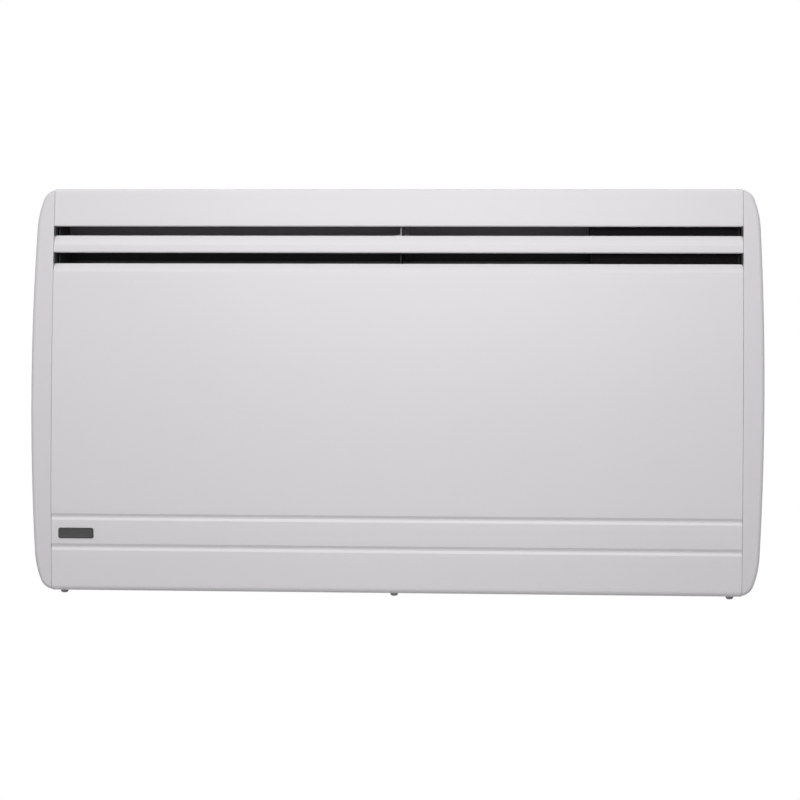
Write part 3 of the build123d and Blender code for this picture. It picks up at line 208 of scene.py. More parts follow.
# Bare metals; the brushed ones have their grain stretched along one axis.
mottled("galvanised", (0.50, 0.51, 0.52), 0.10, 140.0, (0.30, 0.55), 420.0, 0.00001, metallic=1.0)
mottled("spring_steel", (0.30, 0.31, 0.33), 0.08, 60.0, (0.25, 0.40), 800.0, 0.00001,
        metallic=1.0, stretch=(1.0, 1.0, 0.05))
mottled("zinc_screw", (0.60, 0.60, 0.58), 0.06, 300.0, (0.18, 0.32), 1500.0, 0.000006, metallic=1.0)
mottled("dark_screw", (0.16, 0.16, 0.165), 0.10, 300.0, (0.28, 0.42), 1200.0, 0.000008, metallic=1.0)
mottled("plate_metal", (0.074, 0.073, 0.075), 0.06, 60.0, (0.26, 0.38), 900.0, 0.000006,
        metallic=1.0, stretch=(0.05, 1.0, 1.0))
mottled("bright_aluminium", (0.72, 0.73, 0.74), 0.03, 30.0, (0.16, 0.30), 700.0, 0.000008,
        metallic=1.0, stretch=(0.04, 1.0, 1.0))
mottled("cast_aluminium", (0.46, 0.46, 0.47), 0.08, 80.0, (0.42, 0.62), 900.0, 0.00005, metallic=1.0)
mottled("rod_steel", (0.20, 0.17, 0.14), 0.20, 120.0, (0.35, 0.55), 900.0, 0.00002, metallic=1.0)

# Electrical parts.
mottled("ceramic", (0.78, 0.75, 0.66), 0.03, 200.0, (0.22, 0.34), 900.0, 0.00002)
mottled("mica", (0.32, 0.23, 0.12), 0.20, 250.0, (0.45, 0.65), 900.0, 0.00004)
mottled("board_green", (0.02, 0.12, 0.05), 0.15, 260.0, (0.25, 0.40), 1600.0, 0.00001)
mottled("coil", (0.30, 0.24, 0.16), 0.15, 400.0, (0.40, 0.55), 1300.0, 0.00003, metallic=1.0)
LEAD_COLOURS = {
    "lead_brown": (0.07, 0.025, 0.012), "lead_blue": (0.015, 0.05, 0.28),
    "lead_green": (0.06, 0.28, 0.03), "lead_grey": (0.14, 0.14, 0.14),
}
for name, colour in LEAD_COLOURS.items():
    mottled(name, colour, 0.10, 60.0, (0.40, 0.50), 2600.0, 0.00001)

# Each node takes the finish of its slot, apart from these: the sheets round the warm air, which get painted
# shade low down; the control guard, a matter black; the control partition, painted black as shade; and the
# casing, with painted shade on its inner face.
OWN_FINISHES = {
    "outlet_deflector": "deflector_sheet",
    "centre_stay": "stay_sheet",
    "control_guard": "black_guard_and_painted_shade",
    "control_partition": "black_guard_and_painted_shade",
    "rear_casing": "casing_enamel",
}
for part in frame["record"]["subparts"]:
    finish = OWN_FINISHES.get(part["node"], part["material_slot"])
    for material_slot in nodes[part["node"]].material_slots:
        material_slot.material = FINISHES[finish]


# ------------------------------------------------ sizes of the pieces made here, in millimetres

MM = 0.001
DEPTH = 95.0
TOP = 220.0
BACK_Y = -18.0
FRONT_SAG = 10.0
FRONT_RADIUS = (TOP**2 + FRONT_SAG**2) / (2.0 * FRONT_SAG)

# Front panel, from its foot to its hood, and its side flanges, which are painted dark as shade.
PANEL_HALF = 374.7
PANEL_SHEET = 1.0
LIP_BACK_Y = -67.0
FLANGE_BACK_Y = -70.0
FLANGE_PLAY = 0.02
FLANGE_STEP = 0.1
PANEL_CREASE = 128.8
BAR_EDGE = 149.6
BAR_CREASE = 158.0
HOOD_EDGE = 178.5
LOUVRE_RISE = 9.8
LOUVRE_SET_BACK = 6.5
LOUVRE_LIP = 5.0
HOOD_LIP = 4.0
PANEL_LOUVRE_Z = PANEL_CREASE + LOUVRE_RISE - 0.5
BAR_LOUVRE_Z = BAR_CREASE + LOUVRE_RISE + 1.0
BOTTOM_ROUND = 6.0
TOP_ROUND = 4.0
CREASE_ROUND = 3.0
EDGE_ROUND = 1.5
SIDE_FOLD = 0.5
FOLD_STEPS = 5
SHEET_END = 375.1
BURR = 0.25
GROOVE_HEIGHTS = (-172.5, -139.5)
GROOVE_DEPTH = 1.8
GROOVE_HALF = 3.6
GROOVE_FLOOR_HALF = 1.0
GROOVE_ROUND = 1.4

# Folds between the casing and the side caps.
CASING_TOP = 219.0
CASING_SHEET = 0.8
RETURN_X = (371.6, 375.2)
RETURN_Y = (-69.5, -18.6)
RETURN_ROUND = 0.25

# Bare plate: the rim is (inset, height) from its foot to its field.
PLATE_X = (-367.1, -328.2)
PLATE_Z = (-163.1, -151.5)
PLATE_CORNER = 2.4
PLATE_RIM = ((0.0, -0.3), (0.0, 0.45), (0.25, 0.70), (0.75, 0.70), (0.95, 0.42), (1.6, 0.38))

# Screws: places, turns in degrees, and (radius, height) of their heads.
PANEL_SCREWS = ((-363.0, -73.0), (0.0, -73.0), (363.0, -73.0))
PANEL_SCREW_TURNS = (12.0, 55.0, 33.0)
PANEL_SCREW_HEAD = (4.4, 3.4)
CAP_SCREWS = ((-384.0, -150.0), (-384.0, 150.0), (384.0, -150.0), (384.0, 150.0))
CAP_SCREW_TURNS = (20.0, 71.0, 40.0, 5.0)
CAP_SCREW_HEAD = (3.4, 2.3)
HEAD_FOOT = -0.4
HEAD_EDGE = 0.12

# Form of a head, in shares of its radius and height: its dome, and the (reach, half width, height) of the
# cross recess at its bottom and above its mouth.
HEAD_TAPER = 0.97
HEAD_DOME = ((0.99, 0.22), (0.95, 0.44), (0.88, 0.62), (0.77, 0.78), (0.62, 0.90), (0.42, 0.97), (0.18, 1.0))
CROSS_BOTTOM = (0.22, 0.08, 0.38)
CROSS_MOUTH = (0.52, 0.105, 1.2)

# Controls: all stand in a recess in the top.
CONTROL_Y = -45.0
RECESS_FLOOR = 209.5

# Knob: (inset, height) of its skirt from its radius and of its body from the body's own, and the floor of
# its dish as (radius, height).
KNOB_X = 320.0
KNOB_LIFT = 0.5
KNOB_RADIUS = 12.0
KNOB_BODY_RADIUS = KNOB_RADIUS - 0.55
KNOB_HEIGHT = 9.0
KNOB_SKIRT = ((0.5, 0.0), (0.1, 0.25), (0.05, 0.7), (0.3, 1.15))
KNOB_BODY = (
    (0.0, 1.4), (0.06, 2.2), (0.2, 4.0), (0.35, 6.0), (0.48, 7.6), (0.62, 8.3), (0.95, 8.75), (1.45, 8.95),
    (1.9, 8.93), (2.3, 8.75), (3.2, 8.45), (5.5, 8.2),
)
KNOB_DISH = ((2.0, 8.1), (0.6, 8.1))
POINTER = ((-0.55, 2.2), (0.55, 2.2), (0.42, 9.4), (0.0, 9.9), (-0.42, 9.4))
POINTER_HEIGHTS = (8.0, 8.92)
FLUTES = 24
FLUTE_DEPTH = 0.030
FLUTE_LOW = 1.4
FLUTE_HIGH = KNOB_HEIGHT - 0.6
FLUTE_FADE = 0.8

# Printed ticks round the knob, from low to high, in degrees and half widths.
TICKS = 5
TICK_REACH = (12.9, 14.3)
TICK_START = 225.0
TICK_PITCH = 67.5
TICK_HALF = 0.28
TICK_GROWTH = 0.12
PRINT_HALF = 0.05

# Selector: the rim is (inset, height), and the crown is the section of one grip rib.
SELECTOR_X = 288.0
SELECTOR_LIFT = 0.3
SELECTOR_HALF = (5.0, 4.5)
SELECTOR_CORNER = 1.2
SELECTOR_RIM = ((0.35, 0.0), (0.08, 0.2), (0.0, 0.5), (0.0, 2.4), (0.12, 2.8), (0.45, 3.0))
RIBS = 4
RIB_FIRST_X = -3.9
RIB_PITCH = 2.6
RIB_HALF = 3.9
RIB_CROWN = ((-0.6, 2.9), (-0.52, 3.7), (-0.30, 4.08), (0.0, 4.2), (0.30, 4.08), (0.52, 3.7), (0.6, 2.9))
STEM_HALF = (2.0, 1.4)
STEM_CORNER = 0.3
STEM_DEPTH = 6.5
STEM_TOP = 0.1

# Rocker: a shallow V above its pivot, the edges as (share of its half width, inset), and its two marks.
ROCKER_X = 257.0
ROCKER_PIVOT_Z = RECESS_FLOOR + 0.3
ROCKER_TILT = math.radians(11.0)
ROCKER_VALLEY = 2.7
ROCKER_LENGTH = 14.0
ROCKER_HALF_WIDTH = 5.0
ROCKER_CROWN_X = (-7.2, -3.6, -0.9, 0.9, 3.6, 7.2)
ROCKER_RISE = 1.2
ROCKER_SLOPE = ROCKER_RISE / ROCKER_CROWN_X[-1]
ROCKER_SHANK = ((7.0, 1.0), (6.8, -2.0), (3.0, -6.0), (-3.0, -6.0), (-6.8, -2.0), (-7.0, 1.0))
ROCKER_EDGES = ((-1.0, 0.5), (-0.96, 0.15), (-0.88, 0.0), (0.88, 0.0), (0.96, 0.15), (1.0, 0.5))
MARK_X = 4.1
MARK_HEIGHTS = (-0.15, 0.16)
LINE_HALF = (0.28, 1.6)
LINE_CORNER = 0.25
RING_RADII = (1.7, 1.2)


# ------------------------------------------------ mesh helpers

WELD = 0.0005
ARC_STEP = 9.0
CORNER_STEPS = 6
FRONT_STEP = 10.0
HEAD_SEGMENTS = 48
KNOB_SEGMENTS = 192
RING_SEGMENTS = 32


def new_object(name, data):
    """Object of some data, linked to the scene."""
    made = bpy.data.objects.new(name, data)
    bpy.context.scene.collection.objects.link(made)
    return made


def mesh_of(shape, name):
    """Mesh data of a finished shape."""
    mesh = bpy.data.meshes.new(name)
    shape.to_mesh(mesh)
    shape.free()
    return mesh


def add_mesh(shape, mesh):
    """Take a mesh into a shape and drop its data."""
    shape.from_mesh(mesh)
    bpy.data.meshes.remove(mesh)


def as_piece(shape, name, finish, body, sharp=35.0):
    """Piece from a shape in millimetres, smooth apart from creases over an angle in degrees."""
    bmesh.ops.remove_doubles(shape, verts=shape.verts, dist=WELD)
    bmesh.ops.recalc_face_normals(shape, faces=shape.faces)
    for face in shape.faces:
        face.smooth = True
    for edge in shape.edges:
        edge.smooth = len(edge.link_faces) == 2 and edge.calc_face_angle(0.0) < math.radians(sharp)
    bmesh.ops.scale(shape, verts=shape.verts, vec=(MM, MM, MM))
    mesh = mesh_of(shape, name)
    mesh.materials.append(FINISHES[finish])
    made = new_object(name, mesh)
    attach(made, body)
    return made


def join_loops(shape, loops):
    """Quads between successive closed loops of points."""
    rings = [[shape.verts.new(point) for point in loop] for loop in loops]
    count = len(rings[0])
    for low, high in zip(rings, rings[1:]):
        for index in range(count):
            after = (index + 1) % count
            shape.faces.new((low[index], low[after], high[after], high[index]))
    return rings


def solid_of(shape, outline, near, far):
    """Closed prism between two functions that place the points of one outline."""
    rings = join_loops(shape, [[near(*point) for point in outline], [far(*point) for point in outline]])
    shape.faces.new(rings[0])
    shape.faces.new(list(reversed(rings[1])))


def extruded(shape, outline, low, high):
    """Closed prism of an outline of (x, y) points between two heights."""
    solid_of(shape, outline, lambda x, y: (x, y, low), lambda x, y: (x, y, high))


def rounded_rectangle(x0, x1, z0, z1, radius):
    """Points round a rectangle with round corners."""
    corners = [(x1, z1, 0.0), (x0, z1, 90.0), (x0, z0, 180.0), (x1, z0, 270.0)]
    line = []
    for x, z, start in corners:
        centre_x = x - radius if x == x1 else x + radius
        centre_z = z - radius if z == z1 else z + radius
        for number in range(CORNER_STEPS + 1):
            angle = math.radians(start + 90.0 * number / CORNER_STEPS)
            line.append((centre_x + radius * math.cos(angle), centre_z + radius * math.sin(angle)))
    return line


def turned_loops(profile, segments, wave=None):
    """Loops of a turned profile of (radius, height) about +Z."""
    loops = []
    for radius, height in profile:
        loop = []
        for number in range(segments):
            angle = 2.0 * math.pi * number / segments
            reach = radius * (wave(angle, height) if wave else 1.0)
            loop.append((reach * math.cos(angle), reach * math.sin(angle), height))
        loops.append(loop)
    return loops


def turned_piece(shape, profile, segments, wave=None):
    """Closed turned body; the profile runs from its underside to its top."""
    rings = join_loops(shape, turned_loops(profile, segments, wave))
    shape.faces.new(list(reversed(rings[0])))
    shape.faces.new(rings[-1])


def front_y(z):
    """Y of the bowed front at height z."""
    return -DEPTH + FRONT_RADIUS - math.sqrt(FRONT_RADIUS**2 - z**2)


def rounded(corners):
    """Line through (a, b, radius) corners, each rounded to its radius."""
    line = []
    for index, (a, b, radius) in enumerate(corners):
        corner = Vector((a, b))
        if radius == 0.0 or index in (0, len(corners) - 1):
            line.append(corner)
            continue
        come = (corner - Vector(corners[index - 1][:2])).normalized()
        leave = (Vector(corners[index + 1][:2]) - corner).normalized()
        turned = come.angle(leave)
        start = corner - come * radius * math.tan(turned / 2.0)
        side = Vector((-come.y, come.x))
        if side.dot(leave) < 0.0:
            side = -side
        steps = max(2, math.ceil(math.degrees(turned) / ARC_STEP))
        for number in range(steps + 1):
            angle = turned * number / steps
            line.append(start + come * radius * math.sin(angle) + side * radius * (1.0 - math.cos(angle)))
    return line


def front_run(low, high):
    """Points of the bowed front between two heights, without its ends."""
    count = math.ceil((high - low) / FRONT_STEP)
    heights = [low + (high - low) * number / count for number in range(1, count)]
    return [(front_y(z), z, 0.0) for z in heights]


# ------------------------------------------------ front panel

def groove_corners(z):
    """Corners of one pressed groove, from its lower to its upper edge."""
    floor_y = front_y(z) + GROOVE_DEPTH
    return [
        (front_y(z - GROOVE_HALF), z - GROOVE_HALF, GROOVE_ROUND),
        (floor_y, z - GROOVE_FLOOR_HALF, GROOVE_ROUND),
        (floor_y, z + GROOVE_FLOOR_HALF, GROOVE_ROUND),
        (front_y(z + GROOVE_HALF), z + GROOVE_HALF, GROOVE_ROUND),
    ]


def sheet_loop(line):
    """Closed outline of a sheet whose outer face is a line: (point, inward normal, whether on that face)."""
    normals = []
    for index, point in enumerate(line):
        before = line[max(0, index - 1)]
        after = line[min(len(line) - 1, index + 1)]
        run = (after - before).normalized()
        normals.append(Vector((run.y, -run.x)))
    first = (line[1] - line[0]).normalized()
    last = (line[-2] - line[-1]).normalized()
    outer = [(point, normal, True) for point, normal in zip(line, normals)]
    outer[0] = (line[0] + first * BURR, normals[0], True)
    outer[-1] = (line[-1] + last * BURR, normals[-1], True)
    inner = [(point + normal * PANEL_SHEET, normal, False) for point, normal in zip(line, normals)]
    inner[0] = (inner[0][0] + first * BURR, normals[0], False)
    inner[-1] = (inner[-1][0] + last * BURR, normals[-1], False)
    tip = [(line[-1] + normals[-1] * share, normals[-1], False) for share in (BURR, PANEL_SHEET - BURR)]
    root = [(line[0] + normals[0] * share, normals[0], False) for share in (PANEL_SHEET - BURR, BURR)]
    return outer + tip + list(reversed(inner)) + root


def run_sheet(shape, line):
    """Sheet run along X, with its front face rolled over at both ends."""
    outline = sheet_loop(line)
    turns = [math.radians(90.0 * number / FOLD_STEPS) for number in range(FOLD_STEPS + 1)]
    stations = [(-1.0, turn) for turn in reversed(turns)]
    stations += [(1.0, turn) for turn in turns]
    loops = []
    for way, turn in stations:
        loop = []
        for point, normal, skin in outline:
            reach = SHEET_END - SIDE_FOLD * (1.0 - math.sin(turn))
            sink = SIDE_FOLD * (1.0 - math.cos(turn)) if skin else 0.0
            place = point + normal * sink
            loop.append((way * reach, place.x, place.y))
        loops.append(loop)
    rings = join_loops(shape, loops)
    for ring in (rings[0], rings[-1]):
        outer = len(line)
        for index in range(outer - 1):
            partner = len(ring) - 3 - index
            shape.faces.new((ring[index], ring[index + 1], ring[partner - 1], ring[partner]))
        shape.faces.new((ring[0], ring[-3], ring[-2], ring[-1]))
        shape.faces.new((ring[outer - 1], ring[outer], ring[outer + 1], ring[outer + 2]))


def side_flange(shape, way):
    """Flat flange behind one side of the front: level with it across the slots, behind it elsewhere."""
    inset = PANEL_SHEET / 2.0
    low = -TOP + inset
    high = TOP - inset
    front = [(front_y(low), low, BOTTOM_ROUND - inset)]
    level = low
    for z in GROOVE_HEIGHTS:
        front += front_run(level, z - GROOVE_HALF) + groove_corners(z)
        level = z + GROOVE_HALF
    for crease, louvre_z in ((PANEL_CREASE, PANEL_LOUVRE_Z), (BAR_CREASE, BAR_LOUVRE_Z)):
        front += front_run(level, crease)
        front.append((front_y(crease), crease, 0.0))
        front.append((front_y(crease) + LOUVRE_SET_BACK, louvre_z - inset, 0.0))
        front.append((front_y(louvre_z), louvre_z - FLANGE_STEP, 0.0))
        level = louvre_z
    front += front_run(level, high)
    front.append((front_y(high), high, TOP_ROUND - inset))
    line = [(FLANGE_BACK_Y, low, 0.0)] + [(y + inset, z, radius) for y, z, radius in front]
    outline = rounded(line + [(FLANGE_BACK_Y, high, 0.0)])
    outer = way * (PANEL_HALF - FLANGE_PLAY)
    inner = way * (PANEL_HALF - PANEL_SHEET)
    solid_of(shape, outline, lambda y, z: (outer, y, z), lambda y, z: (inner, y, z))


def front_panel():
    """Enamelled front as three sheets: the panel with its grooves, the louvre bar and the hood."""
    shape = bmesh.new()
    lower = [(LIP_BACK_Y, -TOP, 0.0), (front_y(-TOP), -TOP, BOTTOM_ROUND)]
    level = -TOP
    for z in GROOVE_HEIGHTS:
        lower += front_run(level, z - GROOVE_HALF) + groove_corners(z)
        level = z + GROOVE_HALF
    louvre_y = front_y(PANEL_CREASE) + LOUVRE_SET_BACK
    lower += front_run(level, PANEL_CREASE) + [(front_y(PANEL_CREASE), PANEL_CREASE, CREASE_ROUND)]
    lower += [(louvre_y, PANEL_LOUVRE_Z, EDGE_ROUND), (louvre_y + LOUVRE_LIP, PANEL_LOUVRE_Z, 0.0)]
    run_sheet(shape, rounded(lower))
    louvre_y = front_y(BAR_CREASE) + LOUVRE_SET_BACK
    bar = [
        (front_y(BAR_EDGE) + LOUVRE_LIP, BAR_EDGE, 0.0), (front_y(BAR_EDGE), BAR_EDGE, EDGE_ROUND),
        (front_y(BAR_CREASE), BAR_CREASE, CREASE_ROUND), (louvre_y, BAR_LOUVRE_Z, EDGE_ROUND),
        (louvre_y + LOUVRE_LIP, BAR_LOUVRE_Z, 0.0),
    ]
    run_sheet(shape, rounded(bar))
    hood = [(front_y(HOOD_EDGE) + HOOD_LIP, HOOD_EDGE, 0.0), (front_y(HOOD_EDGE), HOOD_EDGE, EDGE_ROUND)]
    hood += front_run(HOOD_EDGE, TOP) + [(front_y(TOP), TOP, TOP_ROUND), (LIP_BACK_Y, TOP, 0.0)]
    run_sheet(shape, rounded(hood))
    return as_piece(shape, "enamelled_front", "white_enamel", "heater")


def flanges_painted_shade():
    """Flanges that close the two ends of the slots, painted dark as the shade in the slot ends."""
    shape = bmesh.new()
    side_flange(shape, -1.0)
    side_flange(shape, 1.0)
    # The dark sheet here is painted shade: the flanges show only inside the slots.
    return as_piece(shape, "flanges_painted_shade", "dark_sheet", "heater")


panel = front_panel()
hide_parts("front_panel")
flanges = flanges_painted_shade()


# ------------------------------------------------ folds between the casing and the side caps

def casing_returns():
    """Narrow folds that carry the casing's top and floor on to the side caps."""
    shape = bmesh.new()
    for way in (-1.0, 1.0):
        for low in (CASING_TOP - CASING_SHEET, -CASING_TOP):
            near, far = sorted((way * RETURN_X[0], way * RETURN_X[1]))
            outline = rounded_rectangle(near, far, low, low + CASING_SHEET, RETURN_ROUND)
            solid_of(shape, outline, lambda x, z: (x, RETURN_Y[0], z), lambda x, z: (x, RETURN_Y[1], z))
    return as_piece(shape, "casing_returns", "white_enamel", "heater")


returns = casing_returns()


# ------------------------------------------------ bare plate on the lower front

def bare_plate():
    """Small plate with a raised rim and nothing on its field."""
    shape = bmesh.new()
    loops = []
    for inset, height in PLATE_RIM:
        outline = rounded_rectangle(
            PLATE_X[0] + inset, PLATE_X[1] - inset, PLATE_Z[0] + inset, PLATE_Z[1] - inset,
            PLATE_CORNER - inset)
        loops.append([(x, front_y(z) - height, z) for x, z in outline])
    rings = join_loops(shape, loops)
    shape.faces.new(rings[0])
    shape.faces.new(list(reversed(rings[-1])))
    return as_piece(shape, "bare_plate", "plate_metal", "heater", 40.0)


plate = bare_plate()


# ------------------------------------------------ screws with a cross recess

def cross_outline(reach, half):
    """Points round a cross of a reach and a half width of its arms."""
    quarter = [(reach, -half), (reach, half), (half, half)]
    line = []
    for number in range(4):
        turn = Matrix.Rotation(math.radians(90.0 * number), 2)
        line += [tuple(turn @ Vector(point)) for point in quarter]
    return line


def head_body(radius, height):
    """Mesh of a domed head without its recess."""
    profile = [(radius * HEAD_TAPER, HEAD_FOOT), (radius, HEAD_EDGE)]
    profile += [(radius * out, height * up) for out, up in HEAD_DOME]
    shape = bmesh.new()
    turned_piece(shape, profile, HEAD_SEGMENTS)
    return mesh_of(shape, "head")


def cross_cutter(radius, height):
    """Mesh of the tapering cross that cuts the recess of a head."""
    loops = []
    for reach, half, up in (CROSS_BOTTOM, CROSS_MOUTH):
        loops.append([(x, y, height * up) for x, y in cross_outline(radius * reach, radius * half)])
    shape = bmesh.new()
    rings = join_loops(shape, loops)
    shape.faces.new(list(reversed(rings[0])))
    shape.faces.new(rings[-1])
    return mesh_of(shape, "cutter")


def screw_head(radius, height):
    """Mesh of one pan head, with a tapering cross recess in its crown."""
    holder = new_object("head", head_body(radius, height))
    tool = new_object("cutter", cross_cutter(radius, height))
    cut = holder.modifiers.new("recess", "BOOLEAN")
    cut.operation = "DIFFERENCE"
    cut.solver = "EXACT"
    cut.object = tool
    depsgraph = bpy.context.evaluated_depsgraph_get()
    result = bpy.data.meshes.new_from_object(holder.evaluated_get(depsgraph))
    for made in (holder, tool):
        bpy.data.objects.remove(made)
    return result


def placed_heads(name, head, places, turns, direction, finish):
    """Copies of a head at (x, y, z) places in millimetres, each turned about its axis."""
    shape = bmesh.new()
    aim = Vector(direction).to_track_quat("Z", "Y").to_matrix().to_4x4()
    for place, turn in zip(places, turns):
        part = bmesh.new()
        part.from_mesh(head)
        spin = Matrix.Rotation(math.radians(turn), 4, "Z")
        bmesh.ops.transform(part, matrix=Matrix.Translation(place) @ aim @ spin, verts=part.verts)
        add_mesh(shape, mesh_of(part, "copy"))
    return as_piece(shape, name, finish, "heater", 30.0)


panel_heads = placed_heads(
    "panel_screw_heads", screw_head(*PANEL_SCREW_HEAD), [(x, y, -TOP) for x, y in PANEL_SCREWS],
    PANEL_SCREW_TURNS, (0.0, 0.0, -1.0), "dark_screw")
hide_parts("panel_screws")

cap_heads = placed_heads(
    "cap_screw_heads", screw_head(*CAP_SCREW_HEAD), [(x, BACK_Y, z) for x, z in CAP_SCREWS],
    CAP_SCREW_TURNS, (0.0, 1.0, 0.0), "zinc_screw")
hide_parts("cap_screws")


# ------------------------------------------------ controls in the top

def flute_wave(angle, height):
    """Share of the knob's radius: flutes that fade in above the skirt and out below the rim."""
    rise = min(1.0, max(0.0, (height - FLUTE_LOW) / FLUTE_FADE))
    fall = min(1.0, max(0.0, (FLUTE_HIGH - height) / FLUTE_FADE))
    return 1.0 - FLUTE_DEPTH * (rise * fall) * (0.5 + 0.5 * math.cos(FLUTES * angle)) ** 2


def dial_knob():
    """Knob with soft grip flutes, a rolled rim, a shallow dish and a raised pointer."""
    profile = [(KNOB_RADIUS - inset, height) for inset, height in KNOB_SKIRT]
    profile += [(KNOB_BODY_RADIUS - inset, height) for inset, height in KNOB_BODY]
    profile += KNOB_DISH
    shape = bmesh.new()
    turned_piece(shape, profile, KNOB_SEGMENTS, flute_wave)
    extruded(shape, POINTER, *POINTER_HEIGHTS)
    bmesh.ops.translate(shape, verts=shape.verts, vec=(KNOB_X, CONTROL_Y, RECESS_FLOOR + KNOB_LIFT))
    return as_piece(shape, "dial_knob", "grey_plastic", "thermostat_dial", 40.0)


def selector_button():
    """Sliding button: rounded body with four soft grip ribs and its stem."""
    half_x, half_y = SELECTOR_HALF
    loops = []
    for inset, height in SELECTOR_RIM:
        outline = rounded_rectangle(
            -half_x + inset, half_x - inset, -half_y + inset, half_y - inset, SELECTOR_CORNER - inset)
        loops.append([(x, y, height) for x, y in outline])
    shape = bmesh.new()
    rings = join_loops(shape, loops)
    shape.faces.new(list(reversed(rings[0])))
    shape.faces.new(rings[-1])
    for number in range(RIBS):
        x = RIB_FIRST_X + RIB_PITCH * number
        crown = [(x + across, up) for across, up in RIB_CROWN]
        solid_of(shape, crown, lambda a, z: (a, -RIB_HALF, z), lambda a, z: (a, RIB_HALF, z))
    base = RECESS_FLOOR + SELECTOR_LIFT
    half_x, half_y = STEM_HALF
    stem = rounded_rectangle(-half_x, half_x, -half_y, half_y, STEM_CORNER)
    extruded(shape, stem, RECESS_FLOOR - STEM_DEPTH - base, STEM_TOP)
    bmesh.ops.translate(shape, verts=shape.verts, vec=(SELECTOR_X, CONTROL_Y, base))
    return as_piece(shape, "selector_button", "grey_plastic", "mode_selector", 40.0)


def rocker_place():
    """Place of the rocker on its pivot, tipped to the off position."""
    tilt = Matrix.Rotation(-ROCKER_TILT, 4, "Y")
    return Matrix.Translation((ROCKER_X, CONTROL_Y, ROCKER_PIVOT_Z)) @ tilt


def rocker_height(x):
    """Height of the rocker's dished top above its pivot."""
    return ROCKER_VALLEY + abs(x) * ROCKER_SLOPE


def rocker_cap():
    """Dished rocker with rounded edges, set in the off position."""
    loops = []
    for share, inset in ROCKER_EDGES:
        squeeze = 1.0 - inset / ROCKER_LENGTH
        y = share * ROCKER_HALF_WIDTH
        loop = [(x * squeeze, y, rocker_height(x) - inset) for x in ROCKER_CROWN_X]
        loop += [(x * squeeze, y, z) for x, z in ROCKER_SHANK]
        loops.append(loop)
    shape = bmesh.new()
    rings = join_loops(shape, loops)
    shape.faces.new(rings[0])
    shape.faces.new(list(reversed(rings[-1])))
    bmesh.ops.transform(shape, matrix=rocker_place(), verts=shape.verts)
    return as_piece(shape, "rocker_cap", "grey_plastic", "power_rocker", 25.0)


def rocker_marks():
    """Raised line and ring on the two halves of the rocker."""
    low, high = MARK_HEIGHTS
    half_x, half_y = LINE_HALF
    line = bmesh.new()
    extruded(line, rounded_rectangle(-half_x, half_x, -half_y, half_y, LINE_CORNER), low, high)
    outer, inner = RING_RADII
    section = ((outer, low), (outer, high), (inner, high), (inner, low), (outer, low))
    ring = bmesh.new()
    join_loops(ring, turned_loops(section, RING_SEGMENTS))
    bmesh.ops.remove_doubles(ring, verts=ring.verts, dist=WELD)
    slope = math.atan(ROCKER_SLOPE)
    shape = bmesh.new()
    for part, x, tilt in ((line, MARK_X, -slope), (ring, -MARK_X, slope)):
        seat = Matrix.Translation((x, 0.0, rocker_height(x))) @ Matrix.Rotation(tilt, 4, "Y")
        bmesh.ops.transform(part, matrix=seat, verts=part.verts)
        add_mesh(shape, mesh_of(part, "mark"))
    bmesh.ops.transform(shape, matrix=rocker_place(), verts=shape.verts)
    return as_piece(shape, "rocker_marks", "print_dark", "power_rocker", 40.0)


def dial_scale():
    """Printed ticks round the knob, wider from low to high."""
    near, far = TICK_REACH
    shape = bmesh.new()
    for number in range(TICKS):
        angle = math.radians(TICK_START - TICK_PITCH * number)
        aim = Vector((math.cos(angle), math.sin(angle)))
        side = Vector((-math.sin(angle), math.cos(angle)))
        half = TICK_HALF + TICK_GROWTH * number
        corners = ((near, half), (far, half), (far, -half), (near, -half))
        ends = [aim * out + side * across for out, across in corners]
        outline = [(KNOB_X + point.x, CONTROL_Y + point.y) for point in ends]
        extruded(shape, outline, RECESS_FLOOR - PRINT_HALF, RECESS_FLOOR + PRINT_HALF)
    return as_piece(shape, "dial_scale", "print_dark", "heater", 40.0)


knob = dial_knob()
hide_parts("thermostat_knob")
button = selector_button()
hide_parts("mode_button")
rocker = rocker_cap()
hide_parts("rocker_button")
for print_piece in (rocker_marks(), dial_scale()):
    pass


# ------------------------------------------------ camera, light and floor

# The photograph's view: from a little right of the middle, just below mid height, in metres.
EYE = Vector((0.1475, -2.4813, -0.0515))
YAW = math.radians(3.385)
PITCH = math.radians(0.989)
ROLL = math.radians(-0.363)
FOCAL_PIXELS = 2209.9
PICTURE_PIXELS = 800.0
SENSOR_WIDTH = 36.0
FLOOR_Z = -0.75
FLOOR_RADIUS = 1.7
FLOOR_SEGMENTS = 96
PAPER_DARK = (0.44, 0.44, 0.44)
PAPER_LIGHT = (0.47, 0.47, 0.47)
PAPER_GRAINS = 40.0
PAPER_ROUGHNESS = 0.9
PAPER_GLOSS = 0.1
PAPER_WHITE_SHARE = 0.80
AMBIENT = 0.31


def photo_camera():
    """Camera that sees the heater as the photograph does."""
    data = bpy.data.cameras.new("camera")
    data.sensor_width = SENSOR_WIDTH
    data.lens = FOCAL_PIXELS / PICTURE_PIXELS * SENSOR_WIDTH
    camera = new_object("camera", data)
    aim = Matrix.Rotation(YAW, 4, "Z") @ Matrix.Rotation(math.radians(90.0) + PITCH, 4, "X")
    camera.matrix_world = Matrix.Translation(EYE) @ aim @ Matrix.Rotation(-ROLL, 4, "Z")
    return camera


def area_light(name, place, target, size, power):
    """Soft rectangular lamp at a place, aimed at a target; its size is in metres and its power in watts."""
    data = bpy.data.lights.new(name, "AREA")
    data.shape = "RECTANGLE"
    data.size, data.size_y = size
    data.energy = power
    lamp = new_object(name, data)
    lamp.location = place
    lamp.rotation_euler = (Vector(target) - Vector(place)).to_track_quat("-Z", "Y").to_euler()
    lamp.visible_camera = False


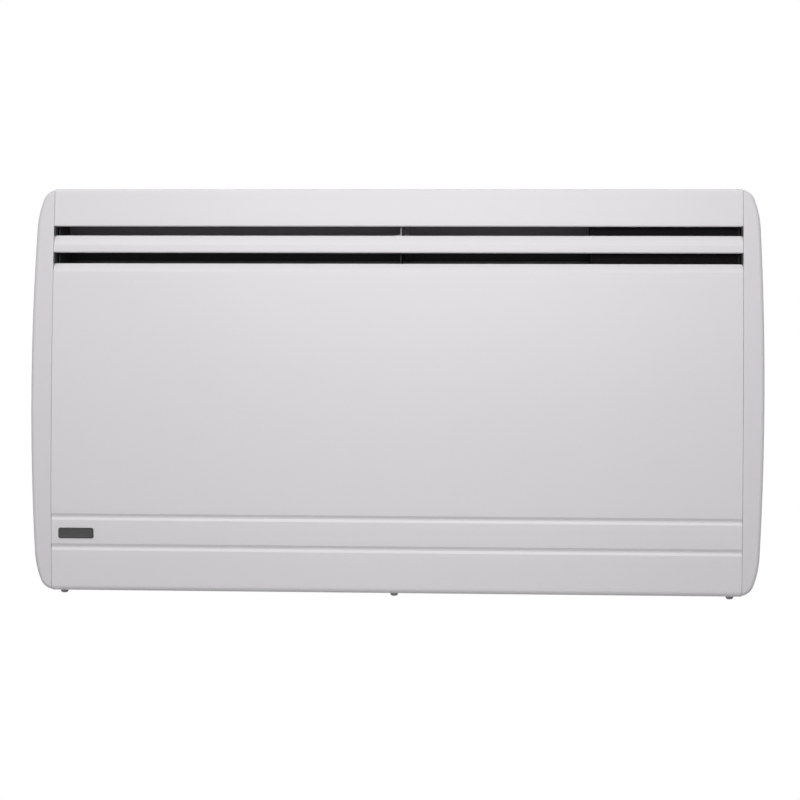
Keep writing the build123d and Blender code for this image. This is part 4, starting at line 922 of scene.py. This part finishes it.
def floor_paper():
    """Pale matt surface that is nearly white to the camera and in reflections, and keeps its shadows."""
    tree, shader, coordinates = new_material("floor_paper")
    grain = noise(tree, coordinates["Object"], PAPER_GRAINS)
    tree.links.new(ramp(tree, grain, PAPER_DARK, PAPER_LIGHT), shader.inputs["Base Color"])
    shader.inputs["Roughness"].default_value = PAPER_ROUGHNESS
    shader.inputs["Specular IOR Level"].default_value = PAPER_GLOSS
    glow = tree.nodes.new("ShaderNodeEmission")
    glow.inputs["Strength"].default_value = 1.0
    share = calculated(tree, "MULTIPLY", seen_rays(tree), PAPER_WHITE_SHARE)
    mix = tree.nodes.new("ShaderNodeMixShader")
    tree.links.new(share, mix.inputs["Fac"])
    tree.links.new(shader.outputs["BSDF"], mix.inputs[1])
    tree.links.new(glow.outputs["Emission"], mix.inputs[2])
    tree.links.new(mix.outputs["Shader"], tree.nodes["Material Output"].inputs["Surface"])


def pale_floor():
    """Round paper floor well below the heater, which hangs on a wall."""
    shape = bmesh.new()
    bmesh.ops.create_circle(shape, cap_ends=True, segments=FLOOR_SEGMENTS, radius=FLOOR_RADIUS)
    mesh = mesh_of(shape, "floor")
    mesh.materials.append(FINISHES["floor_paper"])
    made = new_object("floor", mesh)
    made.location = (0.0, 0.0, FLOOR_Z)
    return made


def studio_world():
    """World that is white to the camera and in reflections, and lights the heater at a lower level."""
    world = bpy.data.worlds.new("studio")
    world.use_nodes = True
    tree = world.node_tree
    background = tree.nodes["Background"]
    background.inputs["Color"].default_value = (1.0, 1.0, 1.0, 1.0)
    tree.links.new(spread(tree, seen_rays(tree), AMBIENT, 1.0), background.inputs["Strength"])
    return world


bpy.context.scene.camera = photo_camera()

area_light("key", (-0.02, -1.9, 0.66), (0.0, -0.08, 0.0), (1.3, 0.9), 15.9)
area_light("strip", (-0.08, -0.95, 1.50), (0.0, -0.08, 0.05), (1.8, 0.30), 9.3)
area_light("fill", (0.02, -0.85, -0.30), (0.02, -0.08, -0.22), (0.4, 0.12), 0.22)
area_light("back", (0.3, 2.4, 1.2), (0.0, 0.0, 0.0), (2.5, 1.6), 18.0)

floor_paper()
floor = pale_floor()

bpy.context.scene.world = studio_world()
bpy.context.scene.view_settings.view_transform = "Standard"
